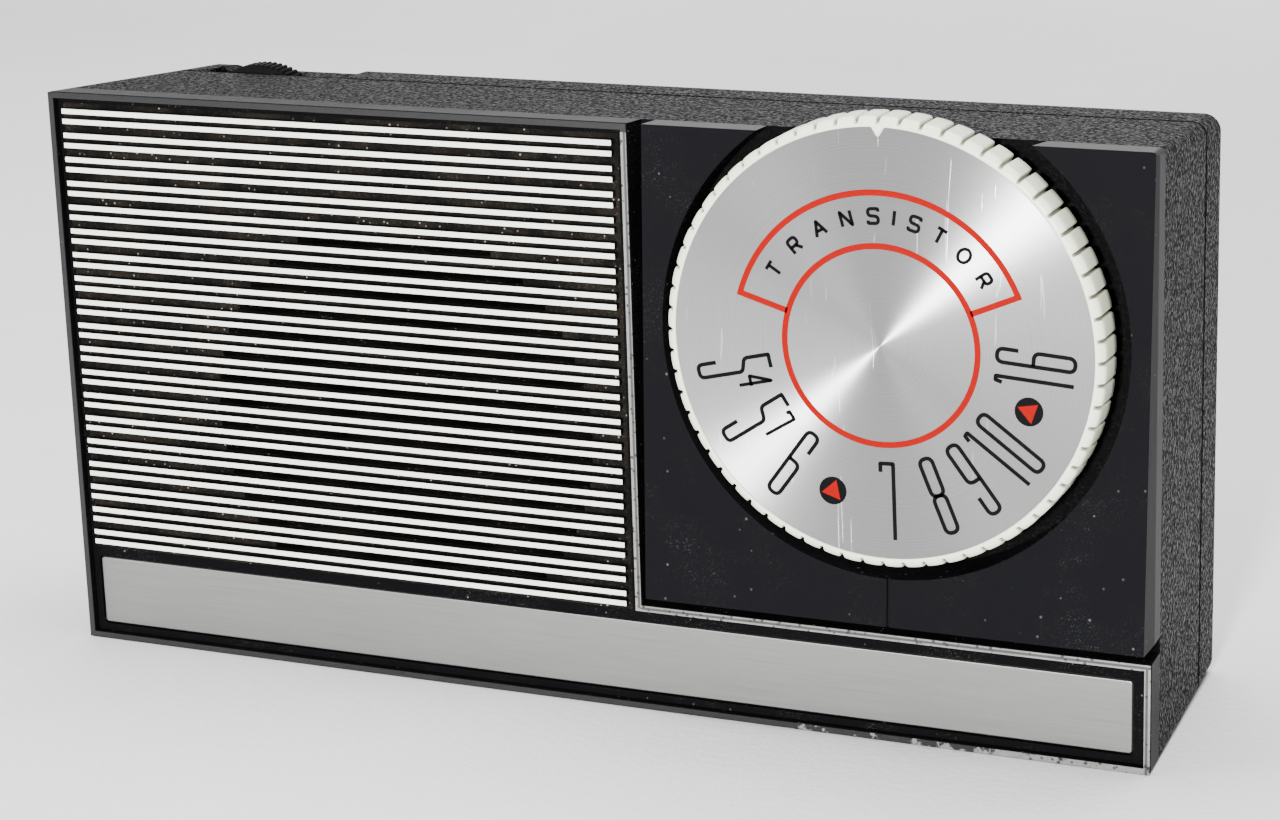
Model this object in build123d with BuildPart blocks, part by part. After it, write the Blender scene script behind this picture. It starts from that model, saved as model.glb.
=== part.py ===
"""Transistor pocket radio: a wide two-shell case with a grille, a large tuning dial and its works.

Millimetres.  X runs to the right seen from the front, Y to the rear and Z up.  The origin is at the
bottom centre of the whole object's box.  Depths are measured rearwards from the bezel's front plane.
"""
import math
import os

from build123d import *

# ---------------------------------------------------------------- driving dimensions
WIDTH = 158.0
HEIGHT = 80.0
DEPTH = 40.0
DIAL_PROUD = 5.05
SIDE_TAPER = 0.060
TOP_TAPER = 0.068
CORNER = 0.6
CORNER_GROWTH = 0.045
SKIM = 0.03
WALL = 2.0

FACE = 4.8
SEAM = 29.3
SEAM_GAP = 0.2
REAR_ROUND = 1.8
LIP = 1.5

BEZEL_TOP_WIDTH = 88.2
BEZEL_STRIP_HEIGHT = 14.85
RIM = 0.95
TRIM_THICK = 0.15
FLOOR = 1.2

BARS = 38
BAR_LENGTH = 83.8
BAR_LEFT = 2.03
BAR_HEIGHT = 0.85
BAR_TOP_Z = 77.25
PAIR_PITCH = 3.3975
BAR_SPACING = 1.4165
BAR_FRONT = 0.25

SPEAKER_X = -26.4
SPEAKER_Z = 36.6
SPEAKER_RADIUS = 29.6
SPEAKER_OPENING = 28.0
SLOT_CIRCLE = 28.7
SHORTEST_SLOT = 16.0

PANEL_LEFT = 90.3
PANEL_BOTTOM = 17.0
PANEL_LEAN = 3.2
WELL_RADIUS = 31.2

DIAL_X = 45.25
DIAL_Z = 54.6
DIAL_RADIUS = 29.0
DIAL_NOTCHES = 64
FACE_RADIUS = 27.65

WHEEL_X = -64.0
WHEEL_Z = 68.2
WHEEL_RADIUS = 10.6
WHEEL_TEETH = 75
WHEEL_FRONT = 32.0
WHEEL_THICK = 3.0

BOARD_FRONT = 22.0
BOARD_THICK = 1.6
BOARD_BACK = BOARD_FRONT + BOARD_THICK
BOARD_SCREWS = [(-69.5, 27), (-52, 72), (5, 71), (70, 71), (70, 27), (5, 27)]

FRONT = -(DEPTH - DIAL_PROUD) / 2
LEFT = -WIDTH / 2

os.makedirs("parts", exist_ok=True)


# ---------------------------------------------------------------- helpers
def at_depth(depth):
    """Upright plane at a depth; it faces forwards, so a negative amount extrudes rearwards."""
    return Plane.XZ.offset(-(FRONT + depth))


def save(part, name):
    """Labels a finished piece and writes its STEP file."""
    part.label = name
    export_step(part, f"parts/{name}.step")


def box_between(x, depth, z):
    """Box from three (low, high) pairs, with depths measured from the bezel's plane."""
    with BuildPart() as block:
        with BuildSketch(at_depth(depth[0])):
            with Locations(((x[0] + x[1]) / 2, (z[0] + z[1]) / 2)):
                Rectangle(x[1] - x[0], z[1] - z[0])
        extrude(amount=-(depth[1] - depth[0]))
    return block.part


def case_block(front, back, inset=0.0):
    """Solid with the case's tapered outline between two depths, inset all round by a wall.

    Its underside is skimmed to a true plane.
    """
    with BuildPart() as block:
        for depth in (front, back):
            shrink = max(depth, 0)
            width = WIDTH - 2 * (SIDE_TAPER * shrink + inset)
            height = HEIGHT - TOP_TAPER * shrink - 2 * inset + SKIM
            with BuildSketch(at_depth(depth)):
                with Locations((0, inset - SKIM + height / 2)):
                    RectangleRounded(width, height, CORNER + CORNER_GROWTH * shrink)
        loft(ruled=True)
        add(box_between((-WIDTH, WIDTH), (front - 1, back + 1), (inset - 1, inset)), mode=Mode.SUBTRACT)
    return block.part


def rod_between(centre, radius, front, back, bore=0.0):
    """Cylinder along Y between two depths, or a tube where a bore is given."""
    with BuildPart() as rod:
        with BuildSketch(at_depth(front)):
            with Locations(centre):
                Circle(radius)
                if bore:
                    Circle(bore, mode=Mode.SUBTRACT)
        extrude(amount=-(back - front))
    return rod.part


def turned(centre, points):
    """Solid of revolution about a front-to-back axis from (radius, depth) points."""
    axis_plane = Plane(origin=(centre[0], FRONT, centre[1]), x_dir=(1, 0, 0), z_dir=(0, 0, 1))
    with BuildPart() as solid:
        with BuildSketch(axis_plane):
            with BuildLine():
                Polyline(*points, close=True)
            make_face()
        revolve(axis=Axis((centre[0], FRONT, centre[1]), (0, 1, 0)))
    return solid.part


def slotted_screw(centre, head_radius, head_front, head_back, shank_radius, shank_end):
    """Screw along Y whose slotted head is at the end away from its shank."""
    outward = -1 if shank_end > head_front else 1
    crown = head_front if outward < 0 else head_back
    with BuildPart() as screw:
        add(rod_between(centre, head_radius, head_front, head_back))
        low, high = sorted((shank_end, (head_front + head_back) / 2))
        add(rod_between(centre, shank_radius, low, high))
        slot = (min(crown, crown - outward * 0.5), max(crown, crown - outward * 0.5))
        reach = head_radius + 0.1
        add(
            box_between((centre[0] - reach, centre[0] + reach), slot, (centre[1] - 0.3, centre[1] + 0.3)),
            mode=Mode.SUBTRACT,
        )
    return screw.part


def lead(points, radius, wire):
    """Wire of straight runs joined by arcs, from one end point to the other."""
    places = [(x, FRONT + depth, z) for x, depth, z in points]
    with BuildPart() as tube:
        with BuildLine() as route:
            FilletPolyline(*places, radius=radius)
        with BuildSketch(Plane(origin=places[0], z_dir=route.line % 0)):
            Circle(wire)
        sweep(path=route.line)
    return tube.part


# ---------------------------------------------------------------- front shell
COVER_SCREW_PLACE = (0, 12)
CLIP_ANGLES = (30, 150, 210, 330)
CLIP_RADIUS = 32.5
CLIP_PLACES = [
    (SPEAKER_X + CLIP_RADIUS * math.cos(math.radians(a)), SPEAKER_Z + CLIP_RADIUS * math.sin(math.radians(a)))
    for a in CLIP_ANGLES
]
CLOTH_BACK = FACE + WALL + 0.5
FLANGE_FRONT = CLOTH_BACK + 0.4
FLANGE_BACK = FLANGE_FRONT + 0.8
JACK_DEPTH = 15.0
JACK_Z = 14.0
JACK_BUSH_RADIUS = 3.0

shell_outer = case_block(FACE, SEAM - SEAM_GAP / 2)
shell_inner = case_block(FACE + WALL, SEAM, WALL)
lip_outer = case_block(SEAM - LIP, SEAM + LIP, WALL / 2 + 0.1)
lip_inner = case_block(SEAM - LIP - 1, SEAM + LIP + 1, WALL)
board_bosses = [rod_between(place, 3.0, FACE + WALL - 0.5, BOARD_FRONT) for place in BOARD_SCREWS]
board_holes = [rod_between(place, 1.15, BOARD_FRONT - 9, BOARD_FRONT + 1) for place in BOARD_SCREWS]
clip_bosses = [rod_between(place, 2.6, FACE + WALL - 0.5, FLANGE_BACK) for place in CLIP_PLACES]
clip_holes = [rod_between(place, 0.9, FACE + 0.6, FLANGE_BACK + 1) for place in CLIP_PLACES]
cover_boss = rod_between(COVER_SCREW_PLACE, 3.6, FACE + WALL - 0.5, SEAM - 0.4)
cover_hole = rod_between(COVER_SCREW_PLACE, 1.6, SEAM - 12, SEAM + 1)
battery_wall = box_between((20.2, 21.4), (FACE + WALL - 0.5, SEAM - 0.4), (WALL - 0.5, 20))
battery_ribs = [box_between((x, x + 1.2), (FACE + WALL - 0.5, 9.8), (WALL - 0.5, 19)) for x in (35, 52, 69)]
speaker_hole = rod_between((SPEAKER_X, SPEAKER_Z), SPEAKER_OPENING, FACE - 1, FACE + WALL + 1)
shaft_hole = rod_between((DIAL_X, DIAL_Z), 5.6, FACE - 1, FACE + WALL + 1)

with BuildPart() as front_case:
    add(shell_outer)
    add(shell_inner, mode=Mode.SUBTRACT)
    add(lip_outer)
    add(lip_inner, mode=Mode.SUBTRACT)
    add(board_bosses)
    add(board_holes, mode=Mode.SUBTRACT)
    add(clip_bosses)
    add(clip_holes, mode=Mode.SUBTRACT)
    add(cover_boss)
    add(cover_hole, mode=Mode.SUBTRACT)
    add(battery_wall)
    add(battery_ribs)
    add(speaker_hole, mode=Mode.SUBTRACT)
    add(shaft_hole, mode=Mode.SUBTRACT)
    with BuildSketch(Plane.YZ.offset(LEFT - 1)):
        with Locations((FRONT + JACK_DEPTH, JACK_Z)):
            Circle(JACK_BUSH_RADIUS + 0.05)
    extrude(amount=8, mode=Mode.SUBTRACT)
    with BuildSketch(Plane.YZ.offset(LEFT - 1)):
        with Locations((FRONT + JACK_DEPTH, JACK_Z)):
            Circle(4.9)
    extrude(amount=2.9, mode=Mode.SUBTRACT)
save(front_case.part, "front_case")

# ---------------------------------------------------------------- back cover
DIP_LEFT = LEFT + 6.0
DIP_RIGHT = LEFT + 30.4
DIP_SLOPE = 2.7
DIP_DROP = 1.0
NOTCH_HALF = 8.3
cover_top_z = HEIGHT - TOP_TAPER * SEAM
dip_floor_z = cover_top_z - DIP_DROP - 0.35
cover_outer = case_block(SEAM + SEAM_GAP / 2, DEPTH)
cover_inner = case_block(SEAM - 1, DEPTH - WALL, WALL)
cover_rebate = case_block(SEAM - 1, SEAM + LIP + 0.2, WALL / 2)
dip_pad = box_between((DIP_LEFT + 1, DIP_RIGHT - 1), (SEAM + LIP + 0.3, DEPTH - 1), (dip_floor_z - 1.4, dip_floor_z + 0.5))
notch = box_between(
    (WHEEL_X - NOTCH_HALF, WHEEL_X + NOTCH_HALF),
    (SEAM - 1, WHEEL_FRONT + WHEEL_THICK + 0.5),
    (dip_floor_z - 4, HEIGHT),
)
cover_tube = rod_between(COVER_SCREW_PLACE, 3.9, SEAM - 0.1, DEPTH - 1)
cover_bore = rod_between(COVER_SCREW_PLACE, 1.65, SEAM - 1, DEPTH + 1)
cover_recess = rod_between(COVER_SCREW_PLACE, 3.3, DEPTH - 2.2, DEPTH + 1)

with BuildPart() as back_cover:
    add(cover_outer)
    fillet(back_cover.faces().sort_by(Axis.Y)[-1].edges(), REAR_ROUND)
    add(cover_inner, mode=Mode.SUBTRACT)
    add(cover_rebate, mode=Mode.SUBTRACT)
    add(dip_pad)
    with BuildSketch(at_depth(SEAM - 1)):
        with BuildLine():
            Polyline(
                (DIP_LEFT - DIP_SLOPE, HEIGHT),
                (DIP_LEFT, cover_top_z),
                (DIP_LEFT + DIP_SLOPE, dip_floor_z),
                (DIP_RIGHT - DIP_SLOPE, dip_floor_z),
                (DIP_RIGHT, cover_top_z),
                (DIP_RIGHT + DIP_SLOPE, HEIGHT),
                close=True,
            )
        make_face()
    extrude(amount=-(DEPTH - SEAM + 3), mode=Mode.SUBTRACT)
    add(notch, mode=Mode.SUBTRACT)
    add(cover_tube)
    add(cover_bore, mode=Mode.SUBTRACT)
    add(cover_recess, mode=Mode.SUBTRACT)
save(back_cover.part, "back_cover")

cover_screw = slotted_screw(COVER_SCREW_PLACE, 3.1, DEPTH - 2.1, DEPTH - 0.5, 1.5, SEAM - 7)
save(cover_screw, "cover_screw")

# ---------------------------------------------------------------- L-shaped bezel and what it frames
WINDOW = (LEFT + 1.7, LEFT + 86.4, 13.6, 78.3)
LEDGE = 1.6
INSERT_BACK = 3.6
PLATE_LEFT = LEFT + 2.1
PLATE_LENGTH = 153.1
PLATE_BOTTOM = 2.1
PLATE_HEIGHT = 9.85
PLATE_CORNER = 0.45
PLATE_CLEAR = 0.2
PLATE_POCKET = 1.9
PLATE_FRONT = 1.3
plate_centre = (PLATE_LEFT + PLATE_LENGTH / 2, PLATE_BOTTOM + PLATE_HEIGHT / 2)


def bezel_outline(inset):
    """The bezel's L outline as a flat sketch, inset all round."""
    right = -LEFT - inset
    with BuildSketch() as outline:
        with BuildLine():
            Polyline(
                (LEFT + inset, inset),
                (right, inset),
                (right, BEZEL_STRIP_HEIGHT - inset),
                (LEFT + BEZEL_TOP_WIDTH - inset, BEZEL_STRIP_HEIGHT - inset),
                (LEFT + BEZEL_TOP_WIDTH - inset, HEIGHT - inset),
                (LEFT + inset, HEIGHT - inset),
                close=True,
            )
        make_face()
    return outline.sketch


window_size = (WINDOW[1] - WINDOW[0], WINDOW[3] - WINDOW[2])
window_centre = ((WINDOW[0] + WINDOW[1]) / 2, (WINDOW[2] + WINDOW[3]) / 2)
bezel_envelope = case_block(0, FACE)

with BuildPart() as grille_bezel:
    with BuildSketch(at_depth(TRIM_THICK)):
        add(bezel_outline(0))
    extrude(amount=-(FACE - TRIM_THICK))
    add(bezel_envelope, mode=Mode.INTERSECT)
    with BuildSketch(at_depth(0)):
        add(bezel_outline(RIM))
    extrude(amount=-FLOOR, mode=Mode.SUBTRACT)
    with BuildSketch(at_depth(0)):
        with Locations(window_centre):
            Rectangle(*window_size)
    extrude(amount=-INSERT_BACK, mode=Mode.SUBTRACT)
    with BuildSketch(at_depth(0)):
        with Locations(window_centre):
            Rectangle(window_size[0] - 2 * LEDGE, window_size[1] - 2 * LEDGE)
    extrude(amount=-(FACE + 1), mode=Mode.SUBTRACT)
    with BuildSketch(at_depth(0)):
        with Locations(plate_centre):
            RectangleRounded(
                PLATE_LENGTH + 2 * PLATE_CLEAR, PLATE_HEIGHT + 2 * PLATE_CLEAR, PLATE_CORNER + PLATE_CLEAR
            )
    extrude(amount=-PLATE_POCKET, mode=Mode.SUBTRACT)
save(grille_bezel.part, "grille_bezel")

with BuildPart() as bezel_trim:
    with BuildSketch(at_depth(0)):
        add(bezel_outline(0.1))
    extrude(amount=-TRIM_THICK)
    with BuildSketch(at_depth(0)):
        add(bezel_outline(RIM - 0.05))
    extrude(amount=-TRIM_THICK, mode=Mode.SUBTRACT)
save(bezel_trim.part, "bezel_trim")

bar_centre_x = LEFT + BAR_LEFT + BAR_LENGTH / 2
bar_places = [
    (bar_centre_x, BAR_TOP_Z - (i // 2) * PAIR_PITCH - (i % 2) * BAR_SPACING) for i in range(BARS)
]
slots = []
for pair in range(BARS // 2 - 1):
    slot_z = BAR_TOP_Z - pair * PAIR_PITCH - (BAR_SPACING + PAIR_PITCH) / 2
    reach = SLOT_CIRCLE ** 2 - (slot_z - SPEAKER_Z) ** 2
    if reach > (SHORTEST_SLOT / 2) ** 2:
        slots.append((slot_z, 2 * math.sqrt(reach)))
SLOT_HEIGHT = PAIR_PITCH - BAR_SPACING - BAR_HEIGHT - 0.1

with BuildPart() as grille_insert:
    with BuildSketch(at_depth(FLOOR)):
        with Locations(window_centre):
            Rectangle(window_size[0] - 0.04, window_size[1] - 0.04)
    extrude(amount=-(INSERT_BACK - FLOOR))
    with BuildSketch(at_depth(FLOOR)):
        for slot_z, slot_length in slots:
            with Locations((SPEAKER_X, slot_z)):
                Rectangle(slot_length, SLOT_HEIGHT)
    extrude(amount=-(INSERT_BACK - FLOOR), mode=Mode.SUBTRACT)
save(grille_insert.part, "grille_insert")

with BuildPart() as grille_bars:
    with BuildSketch(at_depth(BAR_FRONT)):
        with Locations(bar_places):
            RectangleRounded(BAR_LENGTH, BAR_HEIGHT, 0.15)
    extrude(amount=-(FLOOR - BAR_FRONT))
save(grille_bars.part, "grille_bars")

with BuildPart() as nameplate:
    with BuildSketch(at_depth(PLATE_FRONT)):
        with Locations(plate_centre):
            RectangleRounded(PLATE_LENGTH, PLATE_HEIGHT, PLATE_CORNER)
    extrude(amount=-(PLATE_POCKET - PLATE_FRONT))
    fillet(nameplate.faces().sort_by(Axis.Y)[0].edges(), 0.2)
save(nameplate.part, "nameplate")

# ---------------------------------------------------------------- dial panel
panel_envelope = case_block(-PANEL_LEAN - 1, 0)
panel_taper = case_block(0, FACE)
well = rod_between((DIAL_X, DIAL_Z), WELL_RADIUS, -PANEL_LEAN - 2, FACE + 1)
INDEX_WIDTH = 0.45
INDEX_DEEP = 0.4

with BuildPart() as dial_panel:
    add(panel_envelope)
    add(panel_taper)
    with BuildSketch(Plane.YZ.offset(LEFT + PANEL_LEFT)):
        with BuildLine():
            Polyline(
                (FRONT + FACE, PANEL_BOTTOM),
                (FRONT - PANEL_LEAN, PANEL_BOTTOM),
                (FRONT, HEIGHT),
                (FRONT + FACE, HEIGHT),
                close=True,
            )
        make_face()
    extrude(amount=WIDTH - PANEL_LEFT - 0.1, mode=Mode.INTERSECT)
    add(well, mode=Mode.SUBTRACT)
    with BuildSketch(Plane.YZ.offset(DIAL_X - INDEX_WIDTH / 2)):
        with BuildLine():
            Polyline(
                (FRONT - PANEL_LEAN - 1, PANEL_BOTTOM - 1),
                (FRONT - PANEL_LEAN + INDEX_DEEP, PANEL_BOTTOM - 1),
                (FRONT - PANEL_LEAN + INDEX_DEEP + 1, PANEL_BOTTOM + 18),
                (FRONT - PANEL_LEAN - 1, PANEL_BOTTOM + 18),
                close=True,
            )
        make_face()
    extrude(amount=INDEX_WIDTH, mode=Mode.SUBTRACT)
save(dial_panel.part, "dial_panel")

# ---------------------------------------------------------------- tuning dial
DIAL_FRONT = -4.4
DIAL_BACK = 0.35
DIAL_WEB_BACK = -3.0
FACE_FRONT = -4.9
FACE_BACK = -4.5
NOTCH_WIDTH = 0.62
NOTCH_DEEP = 0.6
HUB_RADIUS = 5.0
HUB_BACK = 4.2
SHAFT_RADIUS = 3.0
SHAFT_FRONT = -2.0
dial_place = (DIAL_X, DIAL_Z)

dial_body = turned(
    dial_place,
    [
        (0, FACE_BACK),
        (FACE_RADIUS + 0.05, FACE_BACK),
        (FACE_RADIUS + 0.05, -DIAL_PROUD),
        (FACE_RADIUS + 0.35, -DIAL_PROUD),
        (DIAL_RADIUS, DIAL_FRONT),
        (DIAL_RADIUS, DIAL_BACK),
        (DIAL_RADIUS - 2.2, DIAL_BACK),
        (DIAL_RADIUS - 2.2, DIAL_WEB_BACK),
        (HUB_RADIUS, DIAL_WEB_BACK),
        (HUB_RADIUS, HUB_BACK),
        (0, HUB_BACK),
    ],
)
dial_bore = rod_between(dial_place, SHAFT_RADIUS + 0.03, SHAFT_FRONT, HUB_BACK + 1)
dial_screw_bore = rod_between(dial_place, 1.4, FACE_BACK - 1, SHAFT_FRONT + 1)
dial_screw_recess = rod_between(dial_place, 2.5, FACE_BACK - 1, FACE_BACK + 1.2)

with BuildPart() as tuning_dial:
    add(dial_body)
    with BuildSketch(at_depth(-DIAL_PROUD)):
        with Locations(dial_place):
            with PolarLocations(DIAL_RADIUS, DIAL_NOTCHES):
                Polygon((0.1, -NOTCH_WIDTH / 2), (0.1, NOTCH_WIDTH / 2), (-NOTCH_DEEP, 0), align=None)
    extrude(amount=-(DIAL_PROUD + DIAL_BACK + 1), mode=Mode.SUBTRACT)
    with BuildSketch(at_depth(-DIAL_PROUD)):
        with BuildLine():
            Polyline(
                (DIAL_X - 0.8, DIAL_Z + FACE_RADIUS + 0.2),
                (DIAL_X, DIAL_Z + FACE_RADIUS - 1.1),
                (DIAL_X + 0.8, DIAL_Z + FACE_RADIUS + 0.2),
                close=True,
            )
        make_face()
    extrude(amount=-(DIAL_PROUD + FACE_FRONT))
    add(dial_bore, mode=Mode.SUBTRACT)
    add(dial_screw_bore, mode=Mode.SUBTRACT)
    add(dial_screw_recess, mode=Mode.SUBTRACT)
save(tuning_dial.part, "tuning_dial")

dial_face = rod_between(dial_place, FACE_RADIUS, FACE_FRONT, FACE_BACK)
save(dial_face, "dial_face")

dial_screw = slotted_screw(dial_place, 2.3, FACE_BACK + 0.05, FACE_BACK + 1.15, 1.2, 3.0)
save(dial_screw, "dial_screw")

CAPACITOR_SIZE = 20.0
CAPACITOR_BACK = BOARD_BACK + 12
with BuildPart() as tuning_shaft:
    add(rod_between(dial_place, SHAFT_RADIUS, SHAFT_FRONT, BOARD_BACK + 6))
    add(rod_between(dial_place, 1.25, SHAFT_FRONT - 1, 4.0), mode=Mode.SUBTRACT)
save(tuning_shaft.part, "tuning_shaft")

# ---------------------------------------------------------------- tuning capacitor
TRIMMER_PLACES = [(DIAL_X + dx, DIAL_Z + dz) for dx in (-6, 6) for dz in (-6, 6)]
CAPACITOR_SCREWS = [(DIAL_X - 7, DIAL_Z), (DIAL_X + 7, DIAL_Z)]
with BuildPart() as tuning_capacitor:
    with BuildSketch(at_depth(BOARD_BACK)):
        with Locations(dial_place):
            RectangleRounded(CAPACITOR_SIZE, CAPACITOR_SIZE, 1.2)
    extrude(amount=-(CAPACITOR_BACK - BOARD_BACK))
    with BuildSketch(at_depth(BOARD_FRONT - 0.5)):
        with Locations(dial_place):
            Circle(5.0)
    extrude(amount=-(BOARD_THICK + 0.6))
    add(rod_between(dial_place, SHAFT_RADIUS + 0.05, BOARD_FRONT - 2, BOARD_BACK + 6.5), mode=Mode.SUBTRACT)
    with BuildSketch(at_depth(CAPACITOR_BACK)):
        with Locations(TRIMMER_PLACES):
            Circle(2.4)
    extrude(amount=1.0, mode=Mode.SUBTRACT)
    with BuildSketch(at_depth(BOARD_BACK)):
        with Locations(CAPACITOR_SCREWS):
            Circle(1.05)
    extrude(amount=-4, mode=Mode.SUBTRACT)
save(tuning_capacitor.part, "tuning_capacitor")


def group(parts):
    """One part of several separate solids."""
    with BuildPart() as together:
        add(parts)
    return together.part


trimmer_screws = [
    slotted_screw(place, 2.2, CAPACITOR_BACK - 1.0, CAPACITOR_BACK + 0.2, 1.0, CAPACITOR_BACK - 1.0)
    for place in TRIMMER_PLACES
]
save(group(trimmer_screws), "trimmer_screws")

capacitor_screws = [
    slotted_screw(place, 1.9, BOARD_FRONT - 1.1, BOARD_FRONT, 1.0, BOARD_BACK + 3.5) for place in CAPACITOR_SCREWS
]
save(group(capacitor_screws), "capacitor_screws")

# ---------------------------------------------------------------- volume control and its thumbwheel
CONTROL_BACK = WHEEL_FRONT - 1.4
WHEEL_BACK = WHEEL_FRONT + WHEEL_THICK
wheel_place = (WHEEL_X, WHEEL_Z)
with BuildPart() as volume_control:
    with BuildSketch(at_depth(BOARD_BACK)):
        with Locations(wheel_place):
            Circle(7.4)
        with Locations((WHEEL_X, WHEEL_Z - 7)):
            Rectangle(10, 5)
    extrude(amount=-(CONTROL_BACK - BOARD_BACK))
    with BuildSketch(at_depth(CONTROL_BACK)):
        with Locations(wheel_place):
            Circle(3.2)
    extrude(amount=-0.8)
    add(rod_between(wheel_place, 2.05, BOARD_BACK + 2, WHEEL_FRONT), mode=Mode.SUBTRACT)
save(volume_control.part, "volume_control")

with BuildPart() as volume_shaft:
    add(rod_between(wheel_place, 2.0, BOARD_BACK + 2.4, WHEEL_BACK - 1.2))
    add(rod_between(wheel_place, 0.95, WHEEL_BACK - 5, WHEEL_BACK), mode=Mode.SUBTRACT)
save(volume_shaft.part, "volume_shaft")

TOOTH_DEEP = 0.5
tooth_width = 2 * math.pi * WHEEL_RADIUS / WHEEL_TEETH
with BuildPart() as volume_wheel:
    with BuildSketch(at_depth(WHEEL_FRONT)):
        with Locations(wheel_place):
            Circle(WHEEL_RADIUS)
            Circle(2.02, mode=Mode.SUBTRACT)
            with PolarLocations(WHEEL_RADIUS, WHEEL_TEETH):
                Polygon(
                    (0.1, -0.38 * tooth_width),
                    (0.1, 0.38 * tooth_width),
                    (-TOOTH_DEEP, 0),
                    align=None,
                    mode=Mode.SUBTRACT,
                )
    extrude(amount=-WHEEL_THICK)
    with BuildSketch(at_depth(WHEEL_BACK)):
        with Locations(wheel_place):
            Circle(8.2)
            Circle(4.0, mode=Mode.SUBTRACT)
    extrude(amount=0.8, mode=Mode.SUBTRACT)
    with BuildSketch(at_depth(WHEEL_BACK)):
        with Locations(wheel_place):
            Circle(2.6)
    extrude(amount=1.2, mode=Mode.SUBTRACT)
save(volume_wheel.part, "volume_wheel")

wheel_screw = slotted_screw(wheel_place, 2.4, WHEEL_BACK - 1.15, WHEEL_BACK - 0.1, 0.9, WHEEL_BACK - 4.5)
save(wheel_screw, "wheel_screw")

# ---------------------------------------------------------------- circuit board
BOARD_X = (LEFT + 4.5, -LEFT - 4.5)
BOARD_Z = (21.5, 75.5)
with BuildPart() as circuit_board:
    with BuildSketch(at_depth(BOARD_FRONT)):
        with Locations(((BOARD_X[0] + BOARD_X[1]) / 2, (BOARD_Z[0] + BOARD_Z[1]) / 2)):
            RectangleRounded(BOARD_X[1] - BOARD_X[0], BOARD_Z[1] - BOARD_Z[0], 1.0)
        with Locations((SPEAKER_X, SPEAKER_Z)):
            Circle(20.0, mode=Mode.SUBTRACT)
        with Locations(dial_place):
            Circle(5.2, mode=Mode.SUBTRACT)
        with Locations(BOARD_SCREWS):
            Circle(1.3, mode=Mode.SUBTRACT)
        with Locations(CAPACITOR_SCREWS):
            Circle(1.05, mode=Mode.SUBTRACT)
    extrude(amount=-BOARD_THICK)
save(circuit_board.part, "circuit_board")

board_screws = [
    slotted_screw(place, 2.3, BOARD_BACK, BOARD_BACK + 1.5, 1.1, BOARD_FRONT - 7) for place in BOARD_SCREWS
]
save(group(board_screws), "board_screws")

# ---------------------------------------------------------------- coils and transformers
CAN_SIZE = 10.0
CAN_BACK = BOARD_BACK + 12
CAN_PLACES = [(13, 59), (13, 45), (17, 31), (65, 56)]
with BuildPart() as coil_cans:
    with BuildSketch(at_depth(BOARD_BACK)):
        for place in CAN_PLACES:
            with Locations(place):
                RectangleRounded(CAN_SIZE, CAN_SIZE, 0.8)
    extrude(amount=-(CAN_BACK - BOARD_BACK))
    with BuildSketch(at_depth(CAN_BACK)):
        with Locations(CAN_PLACES):
            Circle(2.3)
    extrude(amount=4, mode=Mode.SUBTRACT)
save(coil_cans.part, "coil_cans")

coil_cores = [
    slotted_screw(place, 2.1, CAN_BACK - 3.9, CAN_BACK - 0.6, 1.0, CAN_BACK - 3.9) for place in CAN_PLACES
]
save(group(coil_cores), "coil_cores")

TRANSFORMERS = [((40, 31), 15.0), ((60.5, 33), 18.0)]
TRANSFORMER_HEIGHT = 12.0
cores = []
windings = []
for (tx, tz), length in TRANSFORMERS:
    back = BOARD_BACK + TRANSFORMER_HEIGHT
    with BuildPart() as core:
        add(box_between((tx - length / 2, tx + length / 2), (BOARD_BACK, back), (tz - 3, tz + 3)))
        for side in (-1, 1):
            middle = tx + side * length / 4
            window = (middle - length / 8, middle + length / 8)
            add(box_between(window, (BOARD_BACK + 3, back - 3), (tz - 4, tz + 4)), mode=Mode.SUBTRACT)
    cores.append(core.part)
    with BuildPart() as winding:
        reach = length * 3 / 8 - 0.1
        add(box_between((tx - reach, tx + reach), (BOARD_BACK + 3.1, back - 3.1), (tz - 6.5, tz + 6.5)))
        fillet(winding.edges().filter_by(Axis.Y), 1.5)
        post = (tx - length / 8 - 0.05, tx + length / 8 + 0.05)
        add(box_between(post, (BOARD_BACK, back), (tz - 3.05, tz + 3.05)), mode=Mode.SUBTRACT)
    windings.append(winding.part)
save(group(cores), "transformer_cores")
save(group(windings), "transformer_windings")

# ---------------------------------------------------------------- small components
TRANSISTOR_PLACES = [(27, 60), (27, 50), (28, 40), (50, 41), (70.5, 44), (62.5, 43)]
ELECTROLYTICS = [((-70, 37), 3.6), ((-70, 47), 3.6), ((0, 56), 4.0), ((0, 45), 4.0), ((50.5, 26.5), 2.6)]
DISC_PLACES = [(4, 63), (11.5, 68.5), (27, 32), (72.2, 61), (72.4, 36.5), (36, 41), (-58, 28)]
RESISTOR_PLACES = [
    (-5, 66),
    (-4, 35),
    (3, 37),
    (7, 34.5),
    (20, 53),
    (21, 41.5),
    (30, 26.5),
    (57.6, 50),
    (32.7, 55),
    (57, 64),
    (-62, 47),
    (-62, 35),
]


def transistor(place):
    """Small metal can on three short leads."""
    with BuildPart() as body:
        add(rod_between(place, 2.6, BOARD_BACK + 2, BOARD_BACK + 7))
        add(rod_between(place, 3.1, BOARD_BACK + 2, BOARD_BACK + 2.7))
        fillet(body.faces().sort_by(Axis.Y)[-1].edges(), 0.6)
        for dx, dz in ((-1.3, 0), (1.3, 0), (0, 1.3)):
            add(rod_between((place[0] + dx, place[1] + dz), 0.25, BOARD_BACK, BOARD_BACK + 2.3))
    return body.part


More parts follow.
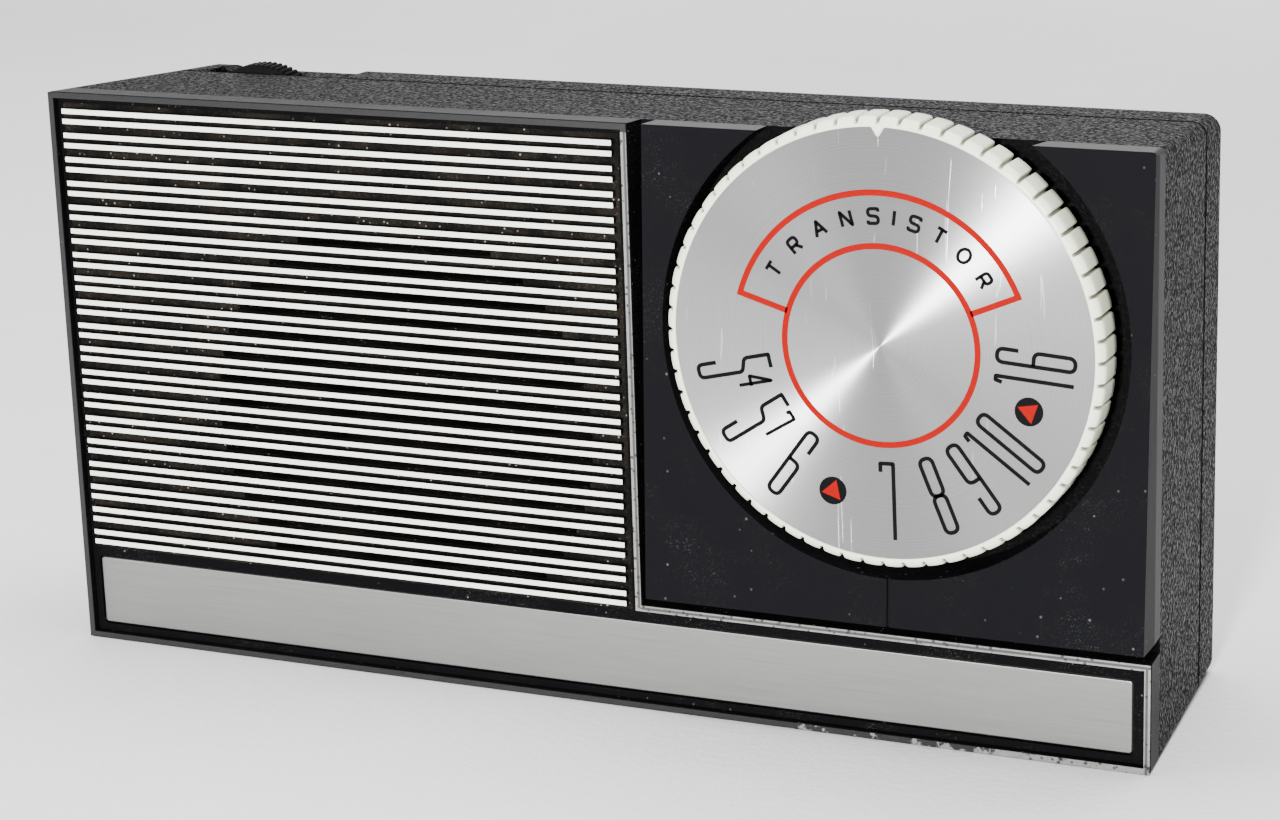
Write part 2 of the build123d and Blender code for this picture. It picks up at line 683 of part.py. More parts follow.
def electrolytic(place, radius):
    """Upright capacitor can with a groove near its foot."""
    back = BOARD_BACK + 10.5
    with BuildPart() as body:
        add(rod_between(place, radius, BOARD_BACK, back))
        fillet(body.faces().sort_by(Axis.Y)[-1].edges(), 0.5)
        add(
            rod_between(place, radius + 1, BOARD_BACK + 1.6, BOARD_BACK + 2.2, bore=radius - 0.35),
            mode=Mode.SUBTRACT,
        )
    return body.part


def disc_capacitor(place):
    """Upright disc on two leads."""
    with BuildPart() as body:
        with BuildSketch(Plane.YZ.offset(place[0] - 1.0)):
            with Locations((FRONT + BOARD_BACK + 5.2, place[1])):
                Circle(3.2)
        extrude(amount=2.0)
        fillet(body.edges().filter_by(GeomType.CIRCLE), 0.6)
        for dz in (-1.6, 1.6):
            add(rod_between((place[0], place[1] + dz), 0.25, BOARD_BACK, BOARD_BACK + 3.5))
    return body.part


def resistor(place):
    """Body lying over the board along Z on two bent leads."""
    with BuildPart() as body:
        with BuildSketch(Plane.XY.offset(place[1] - 3)):
            with Locations((place[0], FRONT + BOARD_BACK + 1.6)):
                Circle(1.15)
        extrude(amount=6)
        chamfer(body.edges().filter_by(GeomType.CIRCLE), 0.3)
        with BuildSketch(Plane.XY.offset(place[1] - 4.2)):
            with Locations((place[0], FRONT + BOARD_BACK + 1.6)):
                Circle(0.28)
        extrude(amount=8.4)
        for dz in (-4.0, 4.0):
            add(rod_between((place[0], place[1] + dz), 0.22, BOARD_BACK, BOARD_BACK + 1.6))
    return body.part


save(group([transistor(place) for place in TRANSISTOR_PLACES]), "transistors")
save(group([electrolytic(place, radius) for place, radius in ELECTROLYTICS]), "electrolytic_capacitors")
save(group([disc_capacitor(place) for place in DISC_PLACES]), "disc_capacitors")
save(group([resistor(place) for place in RESISTOR_PLACES]), "resistors")

# ---------------------------------------------------------------- ferrite aerial
ROD_RADIUS = 4.0
ROD_DEPTH = 31.0
ROD_Z = 69.3
ROD_X = (14.0, 70.0)
COIL_X = (18.0, 31.6)
BRACKET_PLACES = (31.8, 62.5)


def rod_along_x(x, radius, bore=0.0):
    """Cylinder or tube on the aerial's axis between two X places."""
    with BuildPart() as rod:
        with BuildSketch(Plane.YZ.offset(x[0])):
            with Locations((FRONT + ROD_DEPTH, ROD_Z)):
                Circle(radius)
                if bore:
                    Circle(bore, mode=Mode.SUBTRACT)
        extrude(amount=x[1] - x[0])
    return rod.part


save(rod_along_x(ROD_X, ROD_RADIUS), "ferrite_rod")
save(rod_along_x(COIL_X, ROD_RADIUS + 1.2, ROD_RADIUS + 0.03), "antenna_coil")

brackets = []
for bracket_x in BRACKET_PLACES:
    with BuildPart() as bracket:
        with BuildSketch(Plane.YZ.offset(bracket_x)):
            with Locations((FRONT + ROD_DEPTH, ROD_Z)):
                Circle(ROD_RADIUS + 1.2)
            with Locations((FRONT + (BOARD_BACK + ROD_DEPTH) / 2, ROD_Z)):
                Rectangle(ROD_DEPTH - BOARD_BACK, 6)
            with Locations((FRONT + ROD_DEPTH, ROD_Z)):
                Circle(ROD_RADIUS + 0.02, mode=Mode.SUBTRACT)
        extrude(amount=3)
    brackets.append(bracket.part)
save(group(brackets), "antenna_brackets")

# ---------------------------------------------------------------- loudspeaker
speaker_place = (SPEAKER_X, SPEAKER_Z)
BASKET_BACK = 19.5
PLATE_BACK = 20.5
MAGNET_RADIUS = 12.5
MAGNET_BACK = 27.5
COIL_RADIUS = 5.8

with BuildPart() as speaker_frame:
    add(
        turned(
            speaker_place,
            [
                (SPEAKER_RADIUS, FLANGE_FRONT),
                (SPEAKER_RADIUS, FLANGE_BACK),
                (27.3, FLANGE_BACK),
                (27.2, 11.5),
                (15.5, BASKET_BACK),
                (15.5, PLATE_BACK),
                (7.2, PLATE_BACK),
                (7.2, BASKET_BACK),
                (14.6, BASKET_BACK - 0.3),
                (26.4, 11.2),
                (26.4, FLANGE_FRONT),
            ],
        )
    )
    with BuildSketch(at_depth(FLANGE_BACK + 2)):
        with Locations(speaker_place):
            with PolarLocations(20.2, 4, start_angle=45):
                Rectangle(6.5, 13)
    extrude(amount=-8.5, mode=Mode.SUBTRACT)
save(speaker_frame.part, "speaker_frame")

with BuildPart() as speaker_magnet:
    add(rod_between(speaker_place, MAGNET_RADIUS, PLATE_BACK, MAGNET_BACK))
    fillet(speaker_magnet.faces().sort_by(Axis.Y)[-1].edges(), 0.8)
    add(
        rod_between(speaker_place, COIL_RADIUS + 0.7, PLATE_BACK - 1, MAGNET_BACK - 1.5, bore=COIL_RADIUS - 0.7),
        mode=Mode.SUBTRACT,
    )
save(speaker_magnet.part, "speaker_magnet")

CONE_FRONT = 8.4
CONE_BACK = 16.5
CONE_SKIN = 0.4
cone = turned(
    speaker_place,
    [
        (24.6, CONE_FRONT),
        (24.6, CONE_FRONT + CONE_SKIN),
        (COIL_RADIUS + 0.3, CONE_BACK + CONE_SKIN),
        (COIL_RADIUS + 0.3, CONE_BACK),
    ],
)
save(cone, "speaker_cone")

surround = turned(
    speaker_place,
    [
        (28.0, CLOTH_BACK),
        (28.0, FLANGE_FRONT),
        (26.3, FLANGE_FRONT),
        (25.8, 8.5),
        (25.1, 8.8),
        (25.0, 8.4),
        (25.5, 8.1),
        (26.0, CLOTH_BACK),
    ],
)
save(surround, "speaker_surround")

save(rod_between(speaker_place, COIL_RADIUS + 0.3, CONE_BACK - 0.5, 24.0, bore=COIL_RADIUS - 0.2), "voice_coil")

cap = turned(
    speaker_place,
    [(0, 14.2), (4.0, 14.6), (6.8, 15.4), (6.8, 15.8), (4.0, 15.0), (0, 14.6)],
)
save(cap, "speaker_dust_cap")

save(rod_between(speaker_place, SPEAKER_RADIUS - 0.2, FACE + WALL, CLOTH_BACK), "speaker_cloth")

clips = []
for angle in CLIP_ANGLES:
    with BuildPart() as clip:
        with BuildSketch(at_depth(FLANGE_BACK)):
            with Locations(speaker_place):
                with PolarLocations(CLIP_RADIUS - 1.4, 1, start_angle=angle):
                    Rectangle(7.4, 5)
                with PolarLocations(CLIP_RADIUS, 1, start_angle=angle):
                    Circle(1.0, mode=Mode.SUBTRACT)
        extrude(amount=-0.8)
    clips.append(clip.part)
save(group(clips), "speaker_clips")

clip_screws = [
    slotted_screw(place, 1.9, FLANGE_BACK + 0.8, FLANGE_BACK + 2.0, 0.85, FACE + 1.2) for place in CLIP_PLACES
]
save(group(clip_screws), "clip_screws")

# ---------------------------------------------------------------- battery and its connector
BATTERY_X = (27.6, 73.8)
BATTERY_DEPTH = (9.9, 36.4)
BATTERY_Z = (2.3, 19.8)
TERMINAL_SPACING = 12.7
TERMINAL_HIGH = 2.4
battery_mid_depth = sum(BATTERY_DEPTH) / 2
battery_mid_z = sum(BATTERY_Z) / 2
terminal_depths = (battery_mid_depth - TERMINAL_SPACING / 2, battery_mid_depth + TERMINAL_SPACING / 2)

with BuildPart() as battery:
    add(box_between(BATTERY_X, BATTERY_DEPTH, BATTERY_Z))
    fillet(battery.edges().filter_by(Axis.X), 1.6)
    fillet(battery.edges().group_by(Axis.X)[0] + battery.edges().group_by(Axis.X)[-1], 0.6)
save(battery.part, "battery")


def along_x(x, depth, z, radius):
    """Cylinder along X between two places."""
    with BuildPart() as post:
        with BuildSketch(Plane.YZ.offset(x[0])):
            with Locations((FRONT + depth, z)):
                Circle(radius)
        extrude(amount=x[1] - x[0])
    return post.part


terminals = [
    along_x((BATTERY_X[0] - TERMINAL_HIGH, BATTERY_X[0]), terminal_depths[0], battery_mid_z, 2.9),
    along_x((BATTERY_X[0] - TERMINAL_HIGH, BATTERY_X[0]), terminal_depths[1], battery_mid_z, 3.7),
]
save(group(terminals), "battery_terminals")

snap_x = (BATTERY_X[0] - TERMINAL_HIGH - 1.6, BATTERY_X[0] - 0.4)
with BuildPart() as battery_snap:
    snap_depth = (battery_mid_depth - 12.5, battery_mid_depth + 12.5)
    add(box_between(snap_x, snap_depth, (battery_mid_z - 5.5, battery_mid_z + 5.5)))
    fillet(battery_snap.edges().filter_by(Axis.X), 4)
    for depth in terminal_depths:
        add(along_x((snap_x[0] + 1.5, snap_x[1] + 1), depth, battery_mid_z, 3.8), mode=Mode.SUBTRACT)
save(battery_snap.part, "battery_snap")

# ---------------------------------------------------------------- leads
LEAD_RADIUS = 0.55
for name, depth, end_x in (("battery_lead_red", 26.5, 22.6), ("battery_lead_black", 29.5, 25.4)):
    route = [
        (end_x, depth, battery_mid_z + 5.5),
        (end_x, depth, 27.5),
        (end_x, BOARD_BACK, 27.5),
    ]
    save(lead(route, 2.5, LEAD_RADIUS), name)

speaker_leads = []
for lead_z in (SPEAKER_Z - 2, SPEAKER_Z + 2):
    route = [
        (SPEAKER_X + 27.83, FLANGE_BACK, lead_z),
        (SPEAKER_X + 27.83, 13.0, lead_z),
        (SPEAKER_X + 30.0, 17.5, lead_z),
        (SPEAKER_X + 30.0, BOARD_FRONT, lead_z),
    ]
    speaker_leads.append(lead(route, 3.0, LEAD_RADIUS))
save(group(speaker_leads), "speaker_leads")

# ---------------------------------------------------------------- earphone jack in the left side
JACK_BORE = 1.8
jack_x = (LEFT + 3.2, LEFT + 13.2)
bush_front_x = LEFT + 1.1
with BuildPart() as earphone_jack:
    add(box_between(jack_x, (JACK_DEPTH - 5, JACK_DEPTH + 5), (JACK_Z - 5, JACK_Z + 5)))
    add(along_x((bush_front_x, jack_x[0] + 1), JACK_DEPTH, JACK_Z, JACK_BUSH_RADIUS))
    add(along_x((bush_front_x - 1, jack_x[1] - 1), JACK_DEPTH, JACK_Z, JACK_BORE), mode=Mode.SUBTRACT)
save(earphone_jack.part, "earphone_jack")

with BuildPart() as jack_nut:
    with BuildSketch(Plane.YZ.offset(bush_front_x - 0.1)):
        with Locations((FRONT + JACK_DEPTH, JACK_Z)):
            RegularPolygon(4.6, 6)
            Circle(JACK_BUSH_RADIUS + 0.02, mode=Mode.SUBTRACT)
    extrude(amount=0.85)
save(jack_nut.part, "jack_nut")
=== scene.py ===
"""Looks for the transistor radio: materials, the dial's rim and print, floor, light and camera."""
import math

import bmesh
import bpy
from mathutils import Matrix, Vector


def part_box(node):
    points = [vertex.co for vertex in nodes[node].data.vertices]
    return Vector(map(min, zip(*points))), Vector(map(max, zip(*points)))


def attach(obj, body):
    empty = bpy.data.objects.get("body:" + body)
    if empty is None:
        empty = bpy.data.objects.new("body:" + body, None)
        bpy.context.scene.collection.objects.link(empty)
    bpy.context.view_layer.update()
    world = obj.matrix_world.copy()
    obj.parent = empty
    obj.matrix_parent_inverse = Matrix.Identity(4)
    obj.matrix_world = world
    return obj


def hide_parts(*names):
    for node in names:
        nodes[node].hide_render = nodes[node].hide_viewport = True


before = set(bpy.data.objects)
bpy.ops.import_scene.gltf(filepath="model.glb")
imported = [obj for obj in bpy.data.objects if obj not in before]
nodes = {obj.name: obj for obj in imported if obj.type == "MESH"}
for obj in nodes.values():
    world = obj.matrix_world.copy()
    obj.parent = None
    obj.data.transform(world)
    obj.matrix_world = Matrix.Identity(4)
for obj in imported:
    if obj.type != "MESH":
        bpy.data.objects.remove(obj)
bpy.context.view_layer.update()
MM = 0.001

# ---------------------------------------------------------------- places taken from the frame
face_low, face_high = [Vector(corner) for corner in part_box("dial_face")]
trim_low, trim_high = [Vector(corner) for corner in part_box("bezel_trim")]
bars_low, bars_high = [Vector(corner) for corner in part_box("grille_bars")]
cone_low, cone_high = [Vector(corner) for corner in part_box("speaker_cone")]
battery_low, battery_high = [Vector(corner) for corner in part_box("battery")]
dial_centre = (face_low + face_high) / 2
speaker_centre = (cone_low + cone_high) / 2
FACE_Y = face_low.y
CASE_FRONT_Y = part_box("front_case")[0][1]
BOARD_FRONT_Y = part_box("circuit_board")[0][1]
# The cover's screw tube reaches a tenth of a millimetre over the seam between the shells.
SEAM_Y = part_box("back_cover")[0][1] + 0.1 * MM

# Grille bars, as they are in the CAD.
BAR_HEIGHT = 0.85 * MM
BAR_SPACING = 1.4165 * MM
PAIR_PITCH = 3.3975 * MM


# ---------------------------------------------------------------- material helper
class Look:
    """A procedural material on the Principled shader, built node by node.

    Keyword settings are constants for the shader's own sockets, with _ for a space.
    """

    def __init__(self, name, colour, roughness, metallic=0.0, **sockets):
        self.material = bpy.data.materials.new(name)
        self.material.use_nodes = True
        self.tree = self.material.node_tree
        self.shader = self.tree.nodes["Principled BSDF"]
        self.shader.inputs["Base Color"].default_value = (*colour, 1)
        self.shader.inputs["Roughness"].default_value = roughness
        self.shader.inputs["Metallic"].default_value = metallic
        for socket, value in sockets.items():
            self.shader.inputs[socket.replace("_", " ")].default_value = value
        self.object = self.node("ShaderNodeTexCoord").outputs["Object"]
        self.height = None

    def node(self, kind, **settings):
        """New node with its properties set."""
        made = self.tree.nodes.new(kind)
        for key, value in settings.items():
            setattr(made, key, value)
        return made

    def feed(self, socket, value):
        """Links another node's output, or sets a constant."""
        if isinstance(value, bpy.types.NodeSocket):
            self.tree.links.new(value, socket)
        elif isinstance(value, tuple) and len(value) == 3 and socket.type == "RGBA":
            socket.default_value = (*value, 1)
        else:
            socket.default_value = value

    def stretched(self, stretch):
        """Object coordinates, scaled along each axis."""
        mapping = self.node("ShaderNodeMapping")
        self.feed(mapping.inputs["Vector"], self.object)
        mapping.inputs["Scale"].default_value = stretch
        return mapping.outputs["Vector"]

    def noise(self, scale, detail=3.0, rough=0.5, stretch=(1, 1, 1), warp=0.0):
        """Noise from 0 to 1, with its scale in grains a metre."""
        made = self.node("ShaderNodeTexNoise")
        self.feed(made.inputs["Vector"], self.stretched(stretch))
        made.inputs["Scale"].default_value = scale
        made.inputs["Detail"].default_value = detail
        made.inputs["Roughness"].default_value = rough
        made.inputs["Distortion"].default_value = warp
        return made.outputs["Fac"]

    def cells(self, scale, feature="F1", warp=None):
        """Distance in a cell pattern, from the cells' middles or from their edges."""
        made = self.node("ShaderNodeTexVoronoi", feature=feature)
        source = self.object
        if warp is not None:
            shift = self.node("ShaderNodeVectorMath", operation="ADD")
            self.feed(shift.inputs[0], source)
            self.feed(shift.inputs[1], warp)
            source = shift.outputs["Vector"]
        self.feed(made.inputs["Vector"], source)
        made.inputs["Scale"].default_value = scale
        return made.outputs["Distance"]

    def wobble(self, scale, size):
        """A small random shift of the coordinates."""
        made = self.node("ShaderNodeTexNoise")
        self.feed(made.inputs["Vector"], self.object)
        made.inputs["Scale"].default_value = scale
        centred = self.node("ShaderNodeVectorMath", operation="SUBTRACT")
        self.feed(centred.inputs[0], made.outputs["Color"])
        centred.inputs[1].default_value = (0.5, 0.5, 0.5)
        scaled = self.node("ShaderNodeVectorMath", operation="SCALE")
        self.feed(scaled.inputs[0], centred.outputs["Vector"])
        scaled.inputs["Scale"].default_value = size
        return scaled.outputs["Vector"]

    def axis(self, index):
        """One object coordinate: 0 is x, 1 is y, 2 is z."""
        split = self.node("ShaderNodeSeparateXYZ")
        self.feed(split.inputs[0], self.object)
        return split.outputs[index]

    def math(self, operation, a, b=0.0, clamp=False):
        """One arithmetic step; clamp keeps the result from 0 to 1."""
        made = self.node("ShaderNodeMath", operation=operation, use_clamp=clamp)
        self.feed(made.inputs[0], a)
        self.feed(made.inputs[1], b)
        return made.outputs[0]

    def times(self, a, b):
        return self.math("MULTIPLY", a, b)

    def away(self, value, place):
        """How far a number is from a place, without its sign."""
        return self.math("ABSOLUTE", self.math("SUBTRACT", value, place))

    def wave(self, value, pitch):
        """Sine wave with the given pitch along a number."""
        return self.math("SINE", self.times(value, 2 * math.pi / pitch))

    def radius_from(self, centre):
        """Distance from a front-to-back axis."""
        x = self.math("SUBTRACT", self.axis(0), centre.x)
        z = self.math("SUBTRACT", self.axis(2), centre.z)
        square = self.math("ADD", self.times(x, x), self.times(z, z))
        return self.math("SQRT", square)

    def off_line(self, index, place):
        """0 near a coordinate's given value, 1 from a quarter of a millimetre away."""
        return self.step(self.away(self.axis(index), place), 0.1 * MM, 0.25 * MM)

    def noise_along(self, value, scale, detail=2.0):
        """Noise that varies along one number only."""
        made = self.node("ShaderNodeTexNoise", noise_dimensions="1D")
        self.feed(made.inputs["W"], value)
        made.inputs["Scale"].default_value = scale
        made.inputs["Detail"].default_value = detail
        return made.outputs["Fac"]

    def step(self, value, low, high):
        """0 below low, 1 above high, smooth between; low may be above high."""
        made = self.node("ShaderNodeMapRange", interpolation_type="SMOOTHSTEP")
        self.feed(made.inputs["Value"], value)
        if low < high:
            ends = (low, high, 0.0, 1.0)
        else:
            ends = (high, low, 1.0, 0.0)
        for socket, number in zip(("From Min", "From Max", "To Min", "To Max"), ends):
            made.inputs[socket].default_value = number
        return made.outputs["Result"]

    def between(self, factor, a, b):
        """Number from a to b as the factor goes from 0 to 1."""
        made = self.node("ShaderNodeMapRange")
        self.feed(made.inputs["Value"], factor)
        made.inputs["To Min"].default_value = a
        made.inputs["To Max"].default_value = b
        return made.outputs["Result"]

    def mix(self, factor, a, b):
        """Colour from a to b as the factor goes from 0 to 1."""
        made = self.node("ShaderNodeMix", data_type="RGBA")
        self.feed(made.inputs[0], factor)
        self.feed(made.inputs[6], a)
        self.feed(made.inputs[7], b)
        return made.outputs[2]

    def set(self, socket, value):
        """Feeds one of the shader's sockets."""
        self.feed(self.shader.inputs[socket], value)

    def bump(self, height, distance, strength=1.0):
        """Adds a bump on top of the ones already there; the distance is in metres."""
        made = self.node("ShaderNodeBump")
        made.inputs["Strength"].default_value = strength
        made.inputs["Distance"].default_value = distance
        self.feed(made.inputs["Height"], height)
        if self.height is not None:
            self.feed(made.inputs["Normal"], self.height)
        self.height = made.outputs["Normal"]
        self.set("Normal", self.height)


def shade(colour, share):
    """A darker shade of a colour."""
    return tuple(share * channel for channel in colour)


def dress(look, *names):
    """Gives one material to whole CAD nodes."""
    for name in names:
        mesh = nodes[name].data
        mesh.materials.clear()
        mesh.materials.append(look.material)


def ease(name, width):
    """Breaks a CAD node's sharp edges with a small bevel, its width in millimetres."""
    bevel = nodes[name].modifiers.new("edge_break", "BEVEL")
    bevel.width = width * MM
    bevel.segments = 2
    bevel.limit_method = "ANGLE"
    bevel.angle_limit = math.radians(32)
    bevel.use_clamp_overlap = True


# ---------------------------------------------------------------- case plastics
def leather_grain():
    """Leather-grained black moulding, plain on its front wall and matt at the shells' seam; the grain's
    creases, the front wall and the seam are painted near-black as shade.
    """
    look = Look("leather_grain", (0.02, 0.02, 0.022), 0.45, Specular_IOR_Level=0.035)
    grained = look.step(look.axis(1), CASE_FRONT_Y + 0.25 * MM, CASE_FRONT_Y + 0.4 * MM)
    warp = look.wobble(700, 0.0011)
    creases = look.cells(820, "DISTANCE_TO_EDGE", warp)
    pores = look.noise(2600, 4, 0.65)
    swell = look.noise(420, 3, 0.6)
    pebble = look.times(look.step(creases, 0.02, 0.3), grained)
    tone = look.mix(look.noise(60, 4), (0.007, 0.007, 0.008), (0.013, 0.013, 0.0148))
    dusted = look.mix(look.step(look.noise(2300, 3, 0.6), 0.5, 0.62), tone, (0.034, 0.034, 0.036))
    off_seam = look.step(look.away(look.axis(1), SEAM_Y), 0.35 * MM, 0.6 * MM)
    # Painted shade: near-black in the grain's creases, on the plain front wall down in the dial's well and
    # channel, and along the shells' seam.
    look.set("Base Color", look.mix(look.times(pebble, off_seam), (0.0015, 0.0015, 0.0015), dusted))
    polish = look.between(look.step(look.noise(2000, 3), 0.4, 0.6), 0.3, 0.75)
    look.set("Roughness", look.math("MAXIMUM", polish, look.math("SUBTRACT", 1.0, off_seam)))
    look.bump(off_seam, 0.0006, 1.0)
    look.bump(pebble, 0.0003, 1.0)
    look.bump(pores, 0.00022, 0.9)
    look.bump(swell, 0.0002, 0.4)
    return look


def gloss_black(name, colour, roughness, dust, dust_scale):
    """Black moulding with fine scratches and specks of dust."""
    look = Look(name, colour, roughness, Specular_IOR_Level=0.007)
    specks = look.step(look.cells(dust_scale), 0.10, 0.04)
    patches = look.step(look.noise(90, 4, 0.6), 0.45, 0.75)
    powder = look.step(look.noise(5200, 2), 0.60, 0.74)
    spotted = look.times(specks, look.between(patches, 0.25, 1.0))
    haze = look.times(look.times(powder, patches), 0.35)
    cover = look.times(look.math("MAXIMUM", spotted, haze), dust)
    look.set("Base Color", look.mix(cover, colour, (0.24, 0.23, 0.21)))
    scratches = look.step(look.noise(2400, 2, 0.5, stretch=(1.0, 1.0, 0.04), warp=0.6), 0.66, 0.72)
    smear = look.noise(38, 5, 0.6)
    smeared = look.between(smear, roughness * 0.7, roughness * 1.5)
    look.set("Roughness", look.math("ADD", smeared, look.times(cover, 0.5)))
    look.bump(scratches, 0.000006, 0.35)
    look.bump(smear, 0.00012, 0.12)
    return look


def grille_black():
    """Black louvre plate, dusty and a little brown between its bars."""
    look = Look("grille_black", (0.008, 0.008, 0.008), 0.45, Specular_IOR_Level=0.012)
    patches = look.step(look.noise(120, 4, 0.65), 0.35, 0.7)
    grit = look.step(look.noise(3300, 3, 0.6), 0.52, 0.72)
    flecks = look.step(look.cells(900), 0.16, 0.05)
    dust = look.times(grit, look.between(patches, 0.25, 0.9))
    ground = look.mix(patches, (0.003, 0.003, 0.003), (0.011, 0.009, 0.007))
    soft = look.mix(look.times(dust, 0.3), ground, (0.08, 0.075, 0.065))
    look.set("Base Color", look.mix(look.times(flecks, patches), soft, (0.3, 0.29, 0.26)))
    look.set("Roughness", look.between(dust, 0.38, 0.8))
    look.bump(grit, 0.00003, 0.4)
    return look


def bar_paint():
    """White stamping along the middle of each bar's front, and black moulding on the rest."""
    look = Look("bar_paint", (0.80, 0.82, 0.76), 0.45, Specular_IOR_Level=0.012)
    front = look.step(look.axis(1), bars_low.y + 0.07 * MM, bars_low.y + 0.03 * MM)
    # Each pair of bars repeats the one above it; a quarter pitch keeps the first bar off the joint.
    above = PAIR_PITCH / 4
    down = look.math("SUBTRACT", bars_high.z - BAR_HEIGHT / 2 + above, look.axis(2))
    in_pair = look.math("FLOORED_MODULO", down, PAIR_PITCH)
    from_first = look.away(in_pair, above)
    from_second = look.away(in_pair, above + BAR_SPACING)
    from_middle = look.math("MINIMUM", from_first, from_second)
    stamped = look.times(front, look.step(from_middle, 0.37 * MM, 0.32 * MM))
    grime = look.noise(150, 4, 0.6)
    streak = look.noise(900, 3, 0.6, stretch=(0.05, 1, 1))
    chips = look.step(look.noise(700, 4, 0.7, stretch=(0.45, 1, 1)), 0.755, 0.77)
    white = look.mix(look.step(streak, 0.35, 0.75), (0.78, 0.80, 0.71), (0.88, 0.89, 0.83))
    white = look.mix(look.step(grime, 0.55, 0.8), white, (0.66, 0.66, 0.58))
    white = look.mix(chips, white, (0.03, 0.03, 0.03))
    look.set("Base Color", look.mix(stamped, (0.006, 0.006, 0.006), white))
    look.set("Roughness", look.between(streak, 0.3, 0.5))
    look.bump(streak, 0.00002, 0.3)
    return look


def worn_foil():
    """Silver stamping on the bezel's bead, with painted shade along its middle, and rubbed through on its
    outer runs.
    """
    look = Look("worn_foil", (0.75, 0.74, 0.71), 0.3, 1.0)
    x, z = look.axis(0), look.axis(2)
    inner_corner = trim_low.x + 86.4 * MM

    # How much silver is left: all of it on the inner runs, less along the bottom, little elsewhere.
    right_part = look.step(x, inner_corner - 0.5 * MM, inner_corner)
    below_top = look.step(z, trim_high.z - 0.9 * MM, trim_high.z - 1.3 * MM)
    above_bottom = look.step(z, 1.0 * MM, 1.4 * MM)
    inner = look.times(look.times(right_part, below_top), above_bottom)
    bottom = look.times(look.step(z, 1.4 * MM, 1.0 * MM), look.step(x, -0.03, 0.085))
    kept = look.math("MAXIMUM", inner, look.times(bottom, 0.6))
    kept = look.math("MAXIMUM", kept, 0.2)

    rub = look.noise(520, 5, 0.7, stretch=(0.5, 1, 0.5))
    pits = look.step(look.cells(1100), 0.32, 0.2)
    rubbed = look.times(look.math("SUBTRACT", rub, 0.5), 1.2)
    shown = look.step(look.math("ADD", kept, rubbed), 0.45, 0.52)
    shown = look.times(shown, look.between(pits, 1.0, 0.1))

    # The painted shade along the bead's middle: down beside the grille, along the strip's top, and down the
    # right end.
    strip_low, strip_high = 14.2 * MM, 14.4 * MM
    beside = look.math("ADD", look.step(z, strip_high, strip_low), look.off_line(0, trim_low.x + 87.72 * MM))
    left_of_strip = look.step(x, inner_corner + 1.6 * MM, inner_corner + 1.4 * MM)
    along = look.math("ADD", left_of_strip, look.off_line(2, 14.37 * MM))
    end = look.math("ADD", look.step(z, strip_low, strip_high), look.off_line(0, trim_high.x - 0.47 * MM))
    edges = look.math("MINIMUM", look.math("MINIMUM", beside, along), end, clamp=True)

    silver = look.mix(rub, (0.16, 0.16, 0.155), (0.50, 0.49, 0.475))
    # Painted shade: the bead's middle lines get a dark silver.
    silver = look.mix(edges, (0.10, 0.10, 0.098), silver)
    look.set("Base Color", look.mix(shown, (0.004, 0.004, 0.004), silver))
    look.set("Metallic", shown)
    look.set("Roughness", look.between(look.noise(1800, 3), 0.2, 0.45))
    look.bump(rub, 0.00004, 0.5)
    look.bump(pits, 0.00003, 0.5)
    return look


def brushed_plate():
    """Aluminium strip brushed along its length."""
    look = Look("brushed_plate", (0.6, 0.6, 0.59), 0.4, 1.0, Anisotropic=0.4)
    hair = look.noise(5200, 3, 0.6, stretch=(0.012, 1, 1))
    broad = look.noise(700, 3, 0.5, stretch=(0.02, 1, 1))
    cloud = look.noise(45, 3)
    tone = look.mix(hair, (0.19, 0.19, 0.186), (0.31, 0.31, 0.302))
    look.set("Base Color", look.mix(look.times(broad, 0.5), tone, (0.25, 0.25, 0.243)))
    look.set("Roughness", look.math("ADD", look.between(hair, 0.34, 0.48), look.times(cloud, 0.06)))
    look.bump(hair, 0.000012, 0.35)
    return look


def dial_cream():
    """Pale greenish-cream plastic, darkened in the knurl's grooves by dirt and painted shade."""
    look = Look("dial_cream", (0.74, 0.76, 0.62), 0.32, Specular_IOR_Level=0.35)
    radius = look.radius_from(dial_centre)
    groove = look.step(radius, 28.75 * MM, 28.45 * MM)
    outside = look.step(look.axis(1), FACE_Y + 0.35 * MM, FACE_Y + 0.7 * MM)
    groove_dirt_and_shade = look.times(groove, outside)
    cloud = look.noise(130, 4, 0.6)
    stain = look.step(look.noise(420, 4, 0.7), 0.62, 0.8)
    clean = look.mix(cloud, (0.62, 0.65, 0.50), (0.72, 0.74, 0.60))
    clean = look.mix(look.times(stain, 0.35), clean, (0.55, 0.52, 0.38))
    # Dirt and painted shade: a dark cream behind the face inside the knurl's crowns, on the groove bottoms
    # and the rim's back, web and hub.
    look.set("Base Color", look.mix(groove_dirt_and_shade, clean, (0.30, 0.29, 0.22)))
    look.set("Roughness", look.between(look.noise(900, 3), 0.22, 0.42))
    look.bump(look.noise(1500, 3), 0.00002, 0.25)
    return look


def spun_aluminium():
    """Circularly spun face, whose fine rings draw the light out into a radial streak."""
    look = Look("spun_aluminium", (0.4, 0.4, 0.4), 0.4, 0.97, Anisotropic=0.96, Anisotropic_Rotation=0.25)
    tangent = look.node("ShaderNodeTangent", direction_type="RADIAL", axis="Y")
    look.set("Tangent", tangent.outputs["Tangent"])
    radius = look.radius_from(dial_centre)
    rings = look.noise_along(radius, 9000, 3)
    bands = look.noise_along(radius, 900, 2)
    scratches = look.step(look.noise(900, 2, 0.5, stretch=(1.0, 1.0, 0.08), warp=1.2), 0.70, 0.73)
    tone = look.mix(rings, (0.19, 0.19, 0.188), (0.47, 0.47, 0.466))
    tone = look.mix(look.step(bands, 0.35, 0.7), tone, (0.33, 0.33, 0.327))
    look.set("Base Color", look.mix(look.times(scratches, 0.5), tone, (0.7, 0.7, 0.7)))
    look.set("Roughness", look.between(rings, 0.30, 0.38))
    look.bump(rings, 0.000004, 0.4)
    look.bump(scratches, 0.000008, 0.5)
    return look


